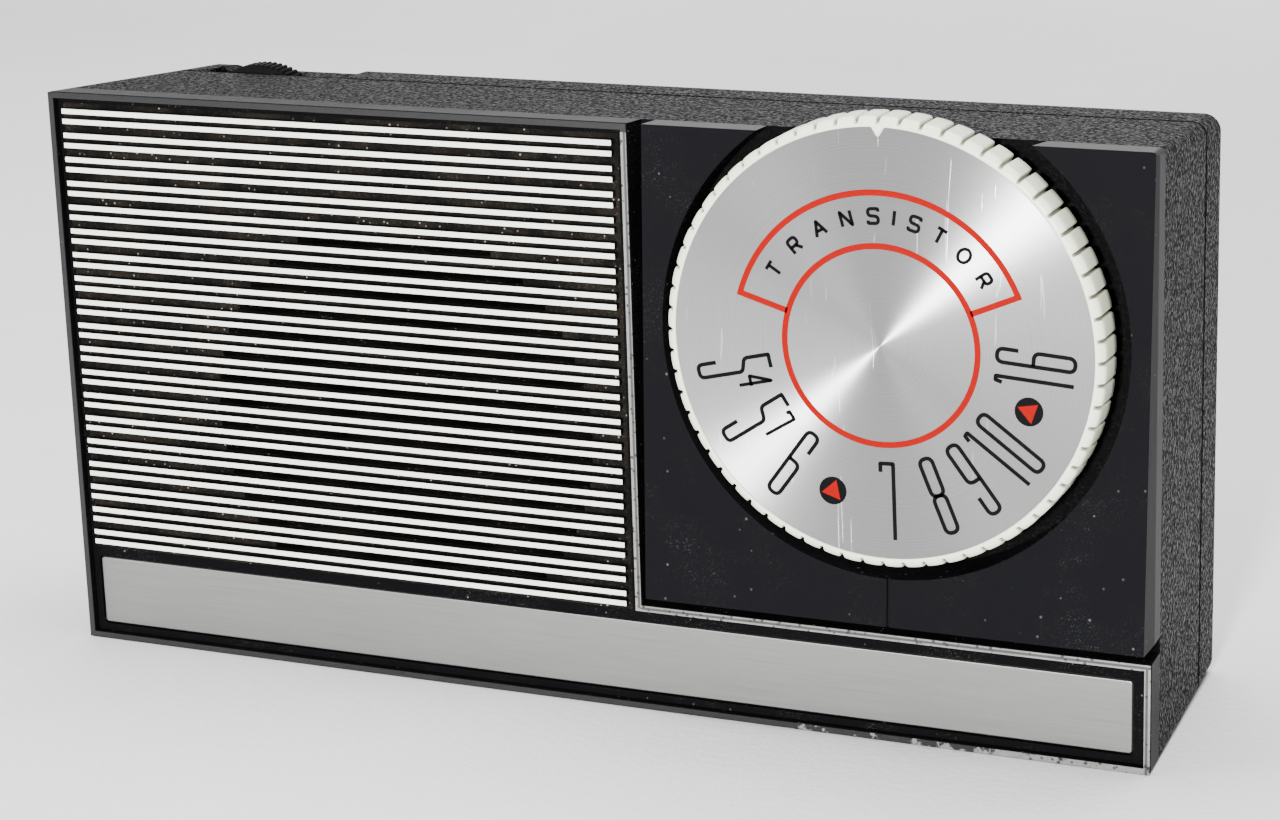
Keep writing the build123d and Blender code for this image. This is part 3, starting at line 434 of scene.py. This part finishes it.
def ink(name, colour, gloss=0.35):
    """Printed enamel with a slightly uneven body."""
    look = Look(name, colour, gloss, Specular_IOR_Level=0.04)
    body = look.noise(1400, 3)
    darker = shade(colour, 0.8)
    look.set("Base Color", look.mix(look.times(body, 0.6), colour, darker))
    look.set("Roughness", look.between(body, gloss * 0.8, gloss * 1.3))
    look.bump(body, 0.000006, 0.3)
    return look


# ---------------------------------------------------------------- inner materials
def plated(name, colour, roughness=0.3):
    """Plated or turned metal with faint turning lines and dull patches."""
    look = Look(name, colour, roughness, 1.0)
    lines = look.noise(4200, 2, 0.5, stretch=(1, 0.05, 1))
    dull = look.noise(160, 4, 0.6)
    darker = shade(colour, 0.62)
    look.set("Base Color", look.mix(look.step(dull, 0.4, 0.75), colour, darker))
    look.set("Roughness", look.between(dull, roughness * 0.75, roughness * 1.8))
    look.bump(lines, 0.00001, 0.3)
    return look


def moulded(name, colour, roughness=0.5, grain=1100):
    """Plain moulding or dipped body with a fine texture and some colour drift."""
    look = Look(name, colour, roughness)
    drift = look.noise(140, 4, 0.6)
    fine = look.noise(grain, 3, 0.6)
    darker = shade(colour, 0.7)
    look.set("Base Color", look.mix(look.step(drift, 0.3, 0.8), colour, darker))
    look.set("Roughness", look.between(fine, roughness * 0.8, min(1.0, roughness * 1.25)))
    look.bump(fine, 0.00003, 0.3)
    return look


def banded(name, axis, pitch, colours, metallic=0.0, roughness=0.45, depth=0.00005):
    """Stripes along one axis at a pitch in millimetres: wire turns, tape or laminations."""
    look = Look(name, colours[0], roughness, metallic)
    wave = look.wave(look.axis(axis), pitch * MM)
    stripe = look.step(wave, -0.5, 0.5)
    drift = look.noise(300, 3)
    tone = look.mix(stripe, colours[0], colours[1])
    darker = shade(colours[0], 0.6)
    look.set("Base Color", look.mix(look.times(drift, 0.4), tone, darker))
    look.set("Roughness", look.between(drift, roughness * 0.8, roughness * 1.3))
    look.bump(wave, depth, 0.5)
    return look


def phenolic_board():
    """Brown laminate with printed copper tracks under lacquer on its front."""
    look = Look("phenolic_board", (0.42, 0.24, 0.10), 0.4)
    fibre = look.noise(900, 3, 0.6, stretch=(0.4, 1, 1))
    brown = look.mix(fibre, (0.30, 0.16, 0.06), (0.44, 0.26, 0.11))
    edges = look.cells(165, "DISTANCE_TO_EDGE", look.wobble(60, 0.004))
    track = look.step(edges, 0.10, 0.13)
    front = look.step(look.axis(1), BOARD_FRONT_Y + 0.3 * MM, BOARD_FRONT_Y + 0.1 * MM)
    copper = look.times(track, front)
    look.set("Base Color", look.mix(copper, brown, (0.50, 0.27, 0.12)))
    look.set("Metallic", look.times(copper, 0.7))
    look.set("Roughness", look.between(fibre, 0.3, 0.5))
    look.bump(track, 0.00004, 0.5)
    return look


def paper_cone():
    """Black paper pulp with rings pressed into it."""
    look = Look("paper_cone", (0.05, 0.045, 0.04), 0.85)
    fibres = look.noise(1700, 4, 0.7)
    rings = look.wave(look.radius_from(speaker_centre), 2.1 * MM)
    look.set("Base Color", look.mix(fibres, (0.03, 0.028, 0.025), (0.085, 0.075, 0.065)))
    look.bump(rings, 0.0002, 0.4)
    look.bump(fibres, 0.00008, 0.6)
    return look


def woven_cloth():
    """Fine black loudspeaker cloth."""
    look = Look("woven_cloth", (0.012, 0.012, 0.012), 0.95, Sheen_Weight=0.15)
    thread_pitch = 0.5 * MM
    weave = look.times(look.wave(look.axis(0), thread_pitch), look.wave(look.axis(2), thread_pitch))
    raised = look.step(weave, -0.6, 0.6)
    look.set("Base Color", look.mix(raised, (0.004, 0.004, 0.004), (0.014, 0.013, 0.012)))
    look.bump(weave, 0.00012, 0.8)
    return look


def battery_jacket():
    """Printed steel jacket in two plain bands with a thin pale line between."""
    look = Look("battery_jacket", (0.1, 0.16, 0.4), 0.3, 0.3)
    x = look.axis(0)
    split = battery_low.x + 0.34 * (battery_high.x - battery_low.x)
    first = look.step(x, split, split + 0.2 * MM)
    second = look.step(x, split + 1.3 * MM, split + 1.5 * MM)
    scuffs = look.step(look.noise(600, 4, 0.7), 0.66, 0.72)
    bands = look.mix(first, (0.52, 0.04, 0.03), (0.75, 0.72, 0.62))
    bands = look.mix(second, bands, (0.035, 0.07, 0.20))
    look.set("Base Color", look.mix(look.times(scuffs, 0.6), bands, (0.5, 0.5, 0.5)))
    look.set("Roughness", look.between(look.noise(300, 3), 0.2, 0.42))
    look.bump(scuffs, 0.00001, 0.3)
    return look


# ---------------------------------------------------------------- CAD nodes and their looks
grain = leather_grain()
steel = plated("zinc_plate", (0.62, 0.62, 0.60))
brass = plated("turned_brass", (0.72, 0.54, 0.26), 0.25)
tin = plated("tinned_can", (0.66, 0.66, 0.66), 0.22)
ferrite = moulded("ferrite_black", (0.05, 0.05, 0.055), 0.55, 2000)
pale_moulding = moulded("pale_moulding", (0.62, 0.60, 0.52), 0.4)

dress(grain, "front_case", "back_cover")
dress(gloss_black("bezel_black", (0.003, 0.003, 0.0033), 0.22, 0.7, 620), "grille_bezel")
dress(gloss_black("panel_black", (0.005, 0.005, 0.0058), 0.12, 0.45, 420), "dial_panel")
dress(grille_black(), "grille_insert")
dress(bar_paint(), "grille_bars")
dress(worn_foil(), "bezel_trim")
dress(brushed_plate(), "nameplate")
dress(spun_aluminium(), "dial_face")
dress(gloss_black("wheel_black", (0.006, 0.006, 0.006), 0.28, 0.6, 900), "volume_wheel")
dress(steel, "cover_screw", "dial_screw", "capacitor_screws", "wheel_screw", "board_screws", "clip_screws")
dress(steel, "speaker_clips", "battery_terminals", "jack_nut")
dress(brass, "tuning_shaft", "trimmer_screws", "volume_shaft")
dress(tin, "coil_cans", "volume_control", "speaker_frame")
dress(plated("magnet_plate", (0.55, 0.53, 0.46), 0.35), "speaker_magnet")
dress(paper_cone(), "speaker_cone", "speaker_dust_cap", "speaker_surround")
dress(woven_cloth(), "speaker_cloth")
dress(ferrite, "ferrite_rod", "coil_cores")
dress(pale_moulding, "tuning_capacitor", "antenna_brackets")
dress(phenolic_board(), "circuit_board")
dress(moulded("transistor_can", (0.09, 0.09, 0.10), 0.3), "transistors")
dress(moulded("electrolytic_sleeve", (0.06, 0.13, 0.33), 0.3), "electrolytic_capacitors")
dress(moulded("disc_ceramic", (0.50, 0.24, 0.09), 0.45), "disc_capacitors")

BROWN_BANDS = ((0.32, 0.18, 0.09), (0.5, 0.08, 0.04))
IRON_SHEETS = ((0.18, 0.18, 0.18), (0.32, 0.32, 0.31))
YELLOW_TAPE = ((0.62, 0.45, 0.10), (0.55, 0.38, 0.08))
SILK_WIRE = ((0.42, 0.26, 0.10), (0.62, 0.45, 0.22))
COPPER_WIRE = ((0.45, 0.2, 0.08), (0.7, 0.36, 0.18))
dress(banded("resistor_bands", 2, 1.5, BROWN_BANDS, depth=0.00001), "resistors")
dress(banded("laminations", 1, 0.5, IRON_SHEETS, 1.0, 0.45), "transformer_cores")
dress(banded("winding_tape", 2, 3.0, YELLOW_TAPE, depth=0.00004), "transformer_windings")
dress(banded("litz_turns", 0, 0.42, SILK_WIRE, depth=0.0002), "antenna_coil")
dress(banded("coil_copper", 1, 0.3, COPPER_WIRE, 1.0, 0.35), "voice_coil")

dress(battery_jacket(), "battery")
dress(moulded("snap_vinyl", (0.03, 0.03, 0.03), 0.5), "battery_snap", "earphone_jack")
dress(moulded("lead_red", (0.5, 0.03, 0.02), 0.4), "battery_lead_red")
dress(moulded("lead_black", (0.02, 0.02, 0.02), 0.4), "battery_lead_black")
dress(moulded("lead_green", (0.04, 0.25, 0.1), 0.4), "speaker_leads")

ease("front_case", 0.15)
ease("back_cover", 0.15)
ease("grille_bezel", 0.14)
ease("dial_panel", 0.3)
ease("bezel_trim", 0.05)
ease("grille_bars", 0.03)
ease("volume_wheel", 0.06)


# ---------------------------------------------------------------- mesh helpers
def new_piece(name, mesh, look, body):
    """Object for a finished mesh, with its material and body."""
    piece = bpy.data.objects.new(name, mesh)
    bpy.context.scene.collection.objects.link(piece)
    mesh.materials.append(look.material)
    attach(piece, body)
    return piece


def mesh_from(name, vertices, faces, smooth_angle=None):
    """Mesh with its faces turned outwards, smooth up to the given angle in degrees."""
    mesh = bpy.data.meshes.new(name)
    mesh.from_pydata(vertices, [], faces)
    made = bmesh.new()
    made.from_mesh(mesh)
    bmesh.ops.recalc_face_normals(made, faces=made.faces)
    made.to_mesh(mesh)
    made.free()
    if smooth_angle is not None:
        mesh.shade_smooth()
        mesh.set_sharp_from_angle(angle=math.radians(smooth_angle))
    return mesh


# ---------------------------------------------------------------- dial rim with its knurl
NOTCHES = 64
GROOVE_DEEP = 0.85
# Across half a block, from the groove's bottom to the crown: share of the pitch and of the depth.
BLOCK_SHAPE = ((0.0, 1.0), (0.065, 0.95), (0.09, 0.25), (0.13, 0.07), (0.26, 0.02), (0.5, 0.0))
# Section of the ring, web and hub: radius and depth behind the face, in millimetres, and the
# share of the groove's depth that is cut there.
RIM_SECTION = (
    (27.70, 0.40, 0.0),
    (27.70, -0.06, 0.0),
    (27.80, -0.14, 0.0),
    (28.02, -0.15, 0.0),
    (28.15, -0.13, 0.05),
    (28.30, -0.08, 0.29),
    (28.48, 0.02, 0.51),
    (28.78, 0.24, 0.86),
    (28.95, 0.5, 1.0),
    (29.00, 0.85, 1.0),
    (29.00, 2.2, 1.0),
    (29.00, 3.6, 1.0),
    (28.97, 4.9, 1.0),
    (28.80, 5.22, 1.0),
    (28.45, 5.25, 0.5),
    (26.80, 5.25, 0.0),
    (26.80, 1.9, 0.0),
    (5.00, 1.9, 0.0),
    (5.00, 9.1, 0.0),
    (3.03, 9.1, 0.0),
    (3.03, 2.9, 0.0),
    (1.40, 2.9, 0.0),
    (1.40, 1.6, 0.0),
    (2.50, 1.6, 0.0),
    (2.50, 0.40, 0.0),
)


def knurl_angles():
    """Angles round the rim with the share of the groove's depth at each."""
    pitch = 2 * math.pi / NOTCHES
    half = BLOCK_SHAPE[:-1]
    across = list(BLOCK_SHAPE) + [(1 - place, deep) for place, deep in reversed(half[1:])]
    return [((notch + place) * pitch, deep) for notch in range(NOTCHES) for place, deep in across]


def build_rim():
    """The dial's rim with its web and hub, standing for the CAD dial."""
    angles = knurl_angles()
    count, section = len(angles), len(RIM_SECTION)
    vertices = []
    for angle, deep in angles:
        for radius, back, cut in RIM_SECTION:
            reach = (radius - GROOVE_DEEP * deep * cut) * MM
            x = dial_centre.x + reach * math.cos(angle)
            z = dial_centre.z + reach * math.sin(angle)
            vertices.append((x, FACE_Y + back * MM, z))
    faces = []
    for i in range(count):
        j = (i + 1) % count
        for k in range(section):
            m = (k + 1) % section
            faces.append((i * section + k, i * section + m, j * section + m, j * section + k))
    mesh = mesh_from("dial_rim", vertices, faces, 28)
    piece = new_piece("dial_rim", mesh, dial_cream(), "dial")
    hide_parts("tuning_dial")


def build_pointer():
    """Small moulded tooth at the top of the ring, pointing inwards over the face."""
    top = dial_centre.z + 27.78 * MM
    front, back = FACE_Y - 0.14 * MM, FACE_Y + 0.02 * MM
    outline = [(-0.95, 0.0), (-0.25, -1.15), (0.0, -1.32), (0.25, -1.15), (0.95, 0.0), (0.0, 0.12)]
    inner = [(0.72 * x, 0.78 * z - 0.02) for x, z in outline]
    vertices = [(dial_centre.x + x * MM, back, top + z * MM) for x, z in outline]
    vertices += [(dial_centre.x + x * MM, front, top + z * MM) for x, z in inner]
    count = len(outline)
    faces = [tuple(range(count)), tuple(range(count, 2 * count))]
    faces += [(i, (i + 1) % count, count + (i + 1) % count, count + i) for i in range(count)]
    mesh = mesh_from("dial_pointer", vertices, faces, 30)
    new_piece("dial_pointer", mesh, dial_cream(), "dial")


build_rim()
build_pointer()


# ---------------------------------------------------------------- dial print
PRINT_THICK = 0.03 * MM
# The rest is in millimetres, with places as radii and angles in degrees round the dial's centre.
SAME_POINT = 1e-4
DIGIT_HIGH = 10.0
DIGIT_WIDE = 1.72
DIGIT_STROKE = 0.52
DIGIT_GAP = 0.95
DIGIT_FOOT = 25.2
SMALL_HIGH = 4.6
SMALL_WIDE = 1.15
SMALL_STROKE = 0.45
SMALL_FOOT = 20.1
BIG_SHIFT = -0.35
SMALL_SHIFT = 1.75
LETTER_HIGH = 1.85
LETTER_STROKE = 0.43
LETTER_FOOT = 15.625
MARKER_RADIUS = 20.5
MARKER_SIZE = 1.85
TRIANGLE_SIZE = 1.55
RED_LINE = 0.76
RED_RING = 12.76
FRAME_INNER = 12.9
FRAME_OUTER = 19.5
FRAME_ENDS = (163.4, 22.8)

SINGLE_NUMBERS = (("6", -126.2), ("7", -87.4), ("8", -67.9), ("9", -53.0), ("10", -36.3), ("16", -3.8))
BIG_AND_SMALL_NUMBERS = (("5", "4", -167.0), ("5", "7", -146.6))
MARKER_ANGLES = (-108.7, -19.3)
WORD = "TRANSISTOR"
WORD_ANGLES = (147.5, 132.5, 118.5, 105.0, 92.5, 83.0, 73.5, 61.5, 48.0, 34.5)


def at_angle(turn, radius):
    """Point at an angle in radians and a radius."""
    return Vector((math.cos(turn), math.sin(turn))) * radius


def rounded(points, radius, closed=False, steps=6):
    """The polyline with its corners turned into curves of up to the given radius."""
    corners = list(points)
    count = len(corners)
    out = []
    for i, corner in enumerate(corners):
        if not closed and i in (0, count - 1):
            out.append(Vector(corner))
            continue
        here = Vector(corner)
        before = Vector(corners[i - 1]) - here
        after = Vector(corners[(i + 1) % count]) - here
        turn = before.angle(after)
        reach = min(radius / math.tan(turn / 2), before.length / 2, after.length / 2)
        start, end = here + before.normalized() * reach, here + after.normalized() * reach
        for step in range(steps + 1):
            t = step / steps
            out.append((1 - t) ** 2 * start + 2 * t * (1 - t) * here + t ** 2 * end)
    return out


def digit_lines(digit, high, wide):
    """Centre lines of a tall condensed digit: (points, corner radius, closed)."""
    w, h = wide / 2, high
    r = w * 1.7
    six = [(w, 0.73 * h), (w, h), (-w, h), (-w, 0), (w, 0), (w, 0.53 * h), (-w, 0.53 * h)]
    if digit == "0":
        return [([(-w, 0), (-w, h), (w, h), (w, 0)], r, True)]
    if digit == "1":
        return [([(-0.62, h - 0.85), (-0.42, h), (0.1, h), (0.1, 0)], 0.12, False)]
    if digit == "4":
        return [([(0.75 * w, 0), (0.75 * w, h), (-w, 0.36 * h), (1.3 * w, 0.36 * h)], 0.05, False)]
    if digit == "5":
        top = rounded([(w, h), (-w, h), (-w, 0.66 * h)], 0.06)
        bowl = [(-w, h), (-w, 0.66 * h), (w, 0.6 * h), (w, 0), (-w, 0), (-w, 0.26 * h)]
        return [(top[:-1] + rounded(bowl, 0.8 * w)[1:], 0.0, False)]
    if digit == "6":
        return [(six, r, False)]
    if digit == "7":
        return [([(-w, 0.89 * h), (-w, h), (w, h), (0.72 * w, 0)], 0.08, False)]
    if digit == "8":
        lower = [(-w, 0), (-w, 0.5 * h), (w, 0.5 * h), (w, 0)]
        upper = [(-w, 0.5 * h), (-w, h), (w, h), (w, 0.5 * h)]
        return [(upper, r, True), (lower, r, True)]
    # Only the 9 is left, a 6 turned half round.
    return [([(-x, h - z) for x, z in six], r, False)]


def letter_lines(letter, high):
    """Centre lines of a wide plain capital: (points, corner radius, closed)."""
    h, w = high, 0.36 * high
    middle = 0.46 * h
    if letter == "T":
        return [([(-w, h), (w, h)], 0, False), ([(0, h), (0, 0)], 0, False)]
    if letter == "R":
        bowl = [(-w, 0), (-w, h), (0.9 * w, h), (0.9 * w, middle), (-w, middle)]
        return [(bowl, 0.24 * h, False), ([(0.1 * w, middle), (w, 0)], 0, False)]
    if letter == "A":
        legs = [(-1.15 * w, 0), (0, h), (1.15 * w, 0)]
        return [(legs, 0.03, False), ([(-0.7 * w, 0.34 * h), (0.7 * w, 0.34 * h)], 0, False)]
    if letter == "N":
        return [([(-w, 0), (-w, h), (w, 0), (w, h)], 0.03, False)]
    if letter == "S":
        upper = [(w, 0.8 * h), (w, h), (-w, h), (-w, 0.52 * h)]
        lower = [(w, 0.48 * h), (w, 0), (-w, 0), (-w, 0.2 * h)]
        return [(upper + lower, 0.25 * h, False)]
    if letter == "I":
        return [([(0, 0), (0, h)], 0, False)]
    # Only the O is left.
    turns = [t * math.pi / 12 for t in range(24)]
    return [([(1.15 * w * math.cos(t), h / 2 + h / 2 * math.sin(t)) for t in turns], 0, True)]


class Print:
    """Flat enamel strokes on the dial's face, collected into one mesh."""

    def __init__(self):
        self.vertices = []
        self.faces = []

    def place(self, x, z, y):
        """Point in metres from millimetres across and up from the dial's centre."""
        return (dial_centre.x + x * MM, y, dial_centre.z + z * MM)

    def slab(self, outline):
        """A thin plate of the given outline, in millimetres from the dial's centre."""
        start = len(self.vertices)
        count = len(outline)
        self.vertices += [self.place(x, z, FACE_Y) for x, z in outline]
        self.vertices += [self.place(x, z, FACE_Y - PRINT_THICK) for x, z in outline]
        self.faces.append(tuple(range(start, start + count)))
        self.faces.append(tuple(range(start + count, start + 2 * count)))
        for i in range(count):
            j = (i + 1) % count
            self.faces.append((start + i, start + j, start + count + j, start + count + i))

    def stroke(self, points, width, closed=False):
        """A ribbon of even width along a line."""
        line = [Vector(point) for point in points]
        cleaned = [line[0]]
        for point in line[1:]:
            if (point - cleaned[-1]).length > SAME_POINT:
                cleaned.append(point)
        if closed and (cleaned[0] - cleaned[-1]).length < SAME_POINT:
            cleaned.pop()
        line = cleaned
        count = len(line)
        start = len(self.vertices)
        for i, point in enumerate(line):
            back = line[i - 1] if closed or i > 0 else None
            ahead = line[(i + 1) % count] if closed or i < count - 1 else None
            into = (point - back).normalized() if back is not None else (ahead - point).normalized()
            out = (ahead - point).normalized() if ahead is not None else into
            normal = Vector((-(into.y + out.y), into.x + out.x))
            normal = normal.normalized() if normal.length > 1e-6 else Vector((-into.y, into.x))
            stretch = 1 / max(0.45, normal.dot(Vector((-into.y, into.x))))
            offset = normal * (width / 2 * stretch)
            for side in (point + offset, point - offset):
                self.vertices.append(self.place(side.x, side.y, FACE_Y))
                self.vertices.append(self.place(side.x, side.y, FACE_Y - PRINT_THICK))
        for i in range(count if closed else count - 1):
            a, b = start + 4 * i, start + 4 * ((i + 1) % count)
            for p, q in ((1, 3), (3, 2), (2, 0), (0, 1)):
                self.faces.append((a + p, a + q, b + q, b + p))
        if not closed:
            last = start + 4 * (count - 1)
            self.faces.append((start, start + 1, start + 3, start + 2))
            self.faces.append((last, last + 1, last + 3, last + 2))

    def glyph(self, lines, width, angle, radius, shift, inwards):
        """Strokes placed at an angle and radius, with their tops towards or away from the centre."""
        outward = at_angle(math.radians(angle), 1)
        along = Vector((-outward.y, outward.x))
        up, right = (-outward, along) if inwards else (outward, -along)
        for points, corner, closed in lines:
            path = rounded(points, corner, closed) if corner else [Vector(point) for point in points]
            moved = [outward * radius + right * (point.x + shift) + up * point.y for point in path]
            self.stroke([(p.x, p.y) for p in moved], width, closed)

    def piece(self, name, look, slot_name):
        """The finished print as a piece on the dial."""
        return new_piece(name, mesh_from(name, self.vertices, self.faces), look, "dial")


def arc(radius, start, end, step):
    """Points from one angle to another, in degrees."""
    count = int(abs(end - start) / step) + 1
    return [at_angle(math.radians(start + (end - start) * i / (count - 1)), radius) for i in range(count)]


def add_number(sheet, text, angle, shift=0.0):
    """A tall number whose digits stand side by side with their feet outwards."""
    for i, digit in enumerate(text):
        place = shift + (i - (len(text) - 1) / 2) * (DIGIT_WIDE + DIGIT_GAP)
        if len(text) == 2:
            # Both digits sit a little to the left, and a tenth of a millimetre further apart.
            place -= (0.25, 0.15)[i]
        lines = digit_lines(digit, DIGIT_HIGH, DIGIT_WIDE)
        sheet.glyph(lines, DIGIT_STROKE, angle, DIGIT_FOOT, place, True)


black_print = Print()
for text, angle in SINGLE_NUMBERS:
    add_number(black_print, text, angle)
for big, small, angle in BIG_AND_SMALL_NUMBERS:
    add_number(black_print, big, angle, BIG_SHIFT)
    lines = digit_lines(small, SMALL_HIGH, SMALL_WIDE)
    black_print.glyph(lines, SMALL_STROKE, angle, SMALL_FOOT, SMALL_SHIFT, True)
for letter, angle in zip(WORD, WORD_ANGLES):
    lines = letter_lines(letter, LETTER_HIGH)
    black_print.glyph(lines, LETTER_STROKE, angle, LETTER_FOOT, 0, False)
for angle in MARKER_ANGLES:
    middle = at_angle(math.radians(angle), MARKER_RADIUS)
    black_print.slab([middle + point for point in arc(MARKER_SIZE, 0, 345, 15)])
black_print.piece("dial_print_black", ink("black_ink", (0.003, 0.003, 0.0035)), "panel_black")

red_print = Print()
red_print.stroke(arc(RED_RING, 0, 357, 3), RED_LINE, True)
frame_start, frame_end = FRAME_ENDS
frame_line = arc(FRAME_OUTER, frame_start, frame_end, 2)
frame_line.insert(0, at_angle(math.radians(frame_start), FRAME_INNER))
frame_line.append(at_angle(math.radians(frame_end), FRAME_INNER))
red_print.stroke(frame_line, RED_LINE)
red_print.piece("dial_print_red", ink("red_ink", (0.22, 0.0015, 0.0006), 0.4), "lead_red")

triangles = Print()
for angle in MARKER_ANGLES:
    turn = math.radians(angle)
    middle = at_angle(turn, MARKER_RADIUS)
    corners = [turn + math.pi + k * 2 * math.pi / 3 for k in range(3)]
    triangles.slab([middle + at_angle(corner, TRIANGLE_SIZE) for corner in corners])
red_marks = ink("red_ink_marks", (0.22, 0.0015, 0.0006), 0.4)
marks = triangles.piece("dial_print_triangles", red_marks, "lead_red")
# The triangles lie on top of their black discs.
marks.location.y -= 0.6 * PRINT_THICK


# ---------------------------------------------------------------- floor and backdrop
def build_sweep():
    """Pale floor that curves up into a backdrop."""
    half, near, far, bend, top = 1.6, -1.6, 0.9, 0.45, 1.4
    profile = [(near, 0.0), (-0.4, 0.0), (0.2, 0.0), (far - bend, 0.0)]
    for t in range(1, 9):
        turn = t * math.pi / 16
        profile.append((far - bend + bend * math.sin(turn), bend - bend * math.cos(turn)))
    profile.append((far, top))
    vertices = []
    for y, z in profile:
        vertices += [(-half, y, z), (half, y, z)]
    faces = [(2 * i, 2 * i + 1, 2 * i + 3, 2 * i + 2) for i in range(len(profile) - 1)]
    mesh = mesh_from("sweep", vertices, faces, 60)
    floor = bpy.data.objects.new("sweep", mesh)
    bpy.context.scene.collection.objects.link(floor)
    look = Look("pale_cloth", (0.66, 0.66, 0.66), 0.9)
    folds = look.noise(9, 3, 0.5)
    nap = look.noise(900, 3, 0.6)
    look.set("Base Color", look.mix(folds, (0.60, 0.60, 0.61), (0.70, 0.70, 0.70)))
    look.bump(folds, 0.012, 0.25)
    look.bump(nap, 0.0003, 0.3)
    mesh.materials.append(look.material)


build_sweep()


# ---------------------------------------------------------------- light
def area_light(name, place, target, size, power):
    """White rectangular light of a size in metres and a power in watts, aimed at a target."""
    light = bpy.data.lights.new(name, "AREA")
    light.shape = "RECTANGLE"
    light.size, light.size_y = size
    light.energy = power
    lamp = bpy.data.objects.new(name, light)
    lamp.location = place
    lamp.rotation_euler = (Vector(target) - Vector(place)).to_track_quat("-Z", "Y").to_euler()
    bpy.context.scene.collection.objects.link(lamp)


world = bpy.data.worlds.new("soft_room")
world.use_nodes = True
background = world.node_tree.nodes["Background"]
background.inputs["Color"].default_value = (0.80, 0.81, 0.83, 1)
background.inputs["Strength"].default_value = 0.3
bpy.context.scene.world = world

area_light("overhead", (0.0, 0.15, 0.9), (0, 0, 0.03), (0.9, 0.7), 20)
# The key's place sets where the streak falls on the dial's spun face.
area_light("key", (0.183, -0.889, 0.235), (0.045, -0.02, 0.045), (0.09, 0.07), 28)
area_light("left_fill", (-0.8, -0.5, 0.5), (0, 0, 0.04), (0.5, 0.5), 5)

# ---------------------------------------------------------------- camera
CAMERA_PLACE = (0.18652, -0.40083, 0.16157)
CAMERA_TURN = (74.1655, 1.7731, 24.2374)
CAMERA_LENS = 94.25
lens = bpy.data.cameras.new("camera")
lens.lens = CAMERA_LENS
lens.sensor_width = 36
lens.clip_start = 0.01
camera = bpy.data.objects.new("camera", lens)
camera.location = CAMERA_PLACE
camera.rotation_euler = [math.radians(angle) for angle in CAMERA_TURN]
bpy.context.scene.collection.objects.link(camera)
bpy.context.scene.camera = camera
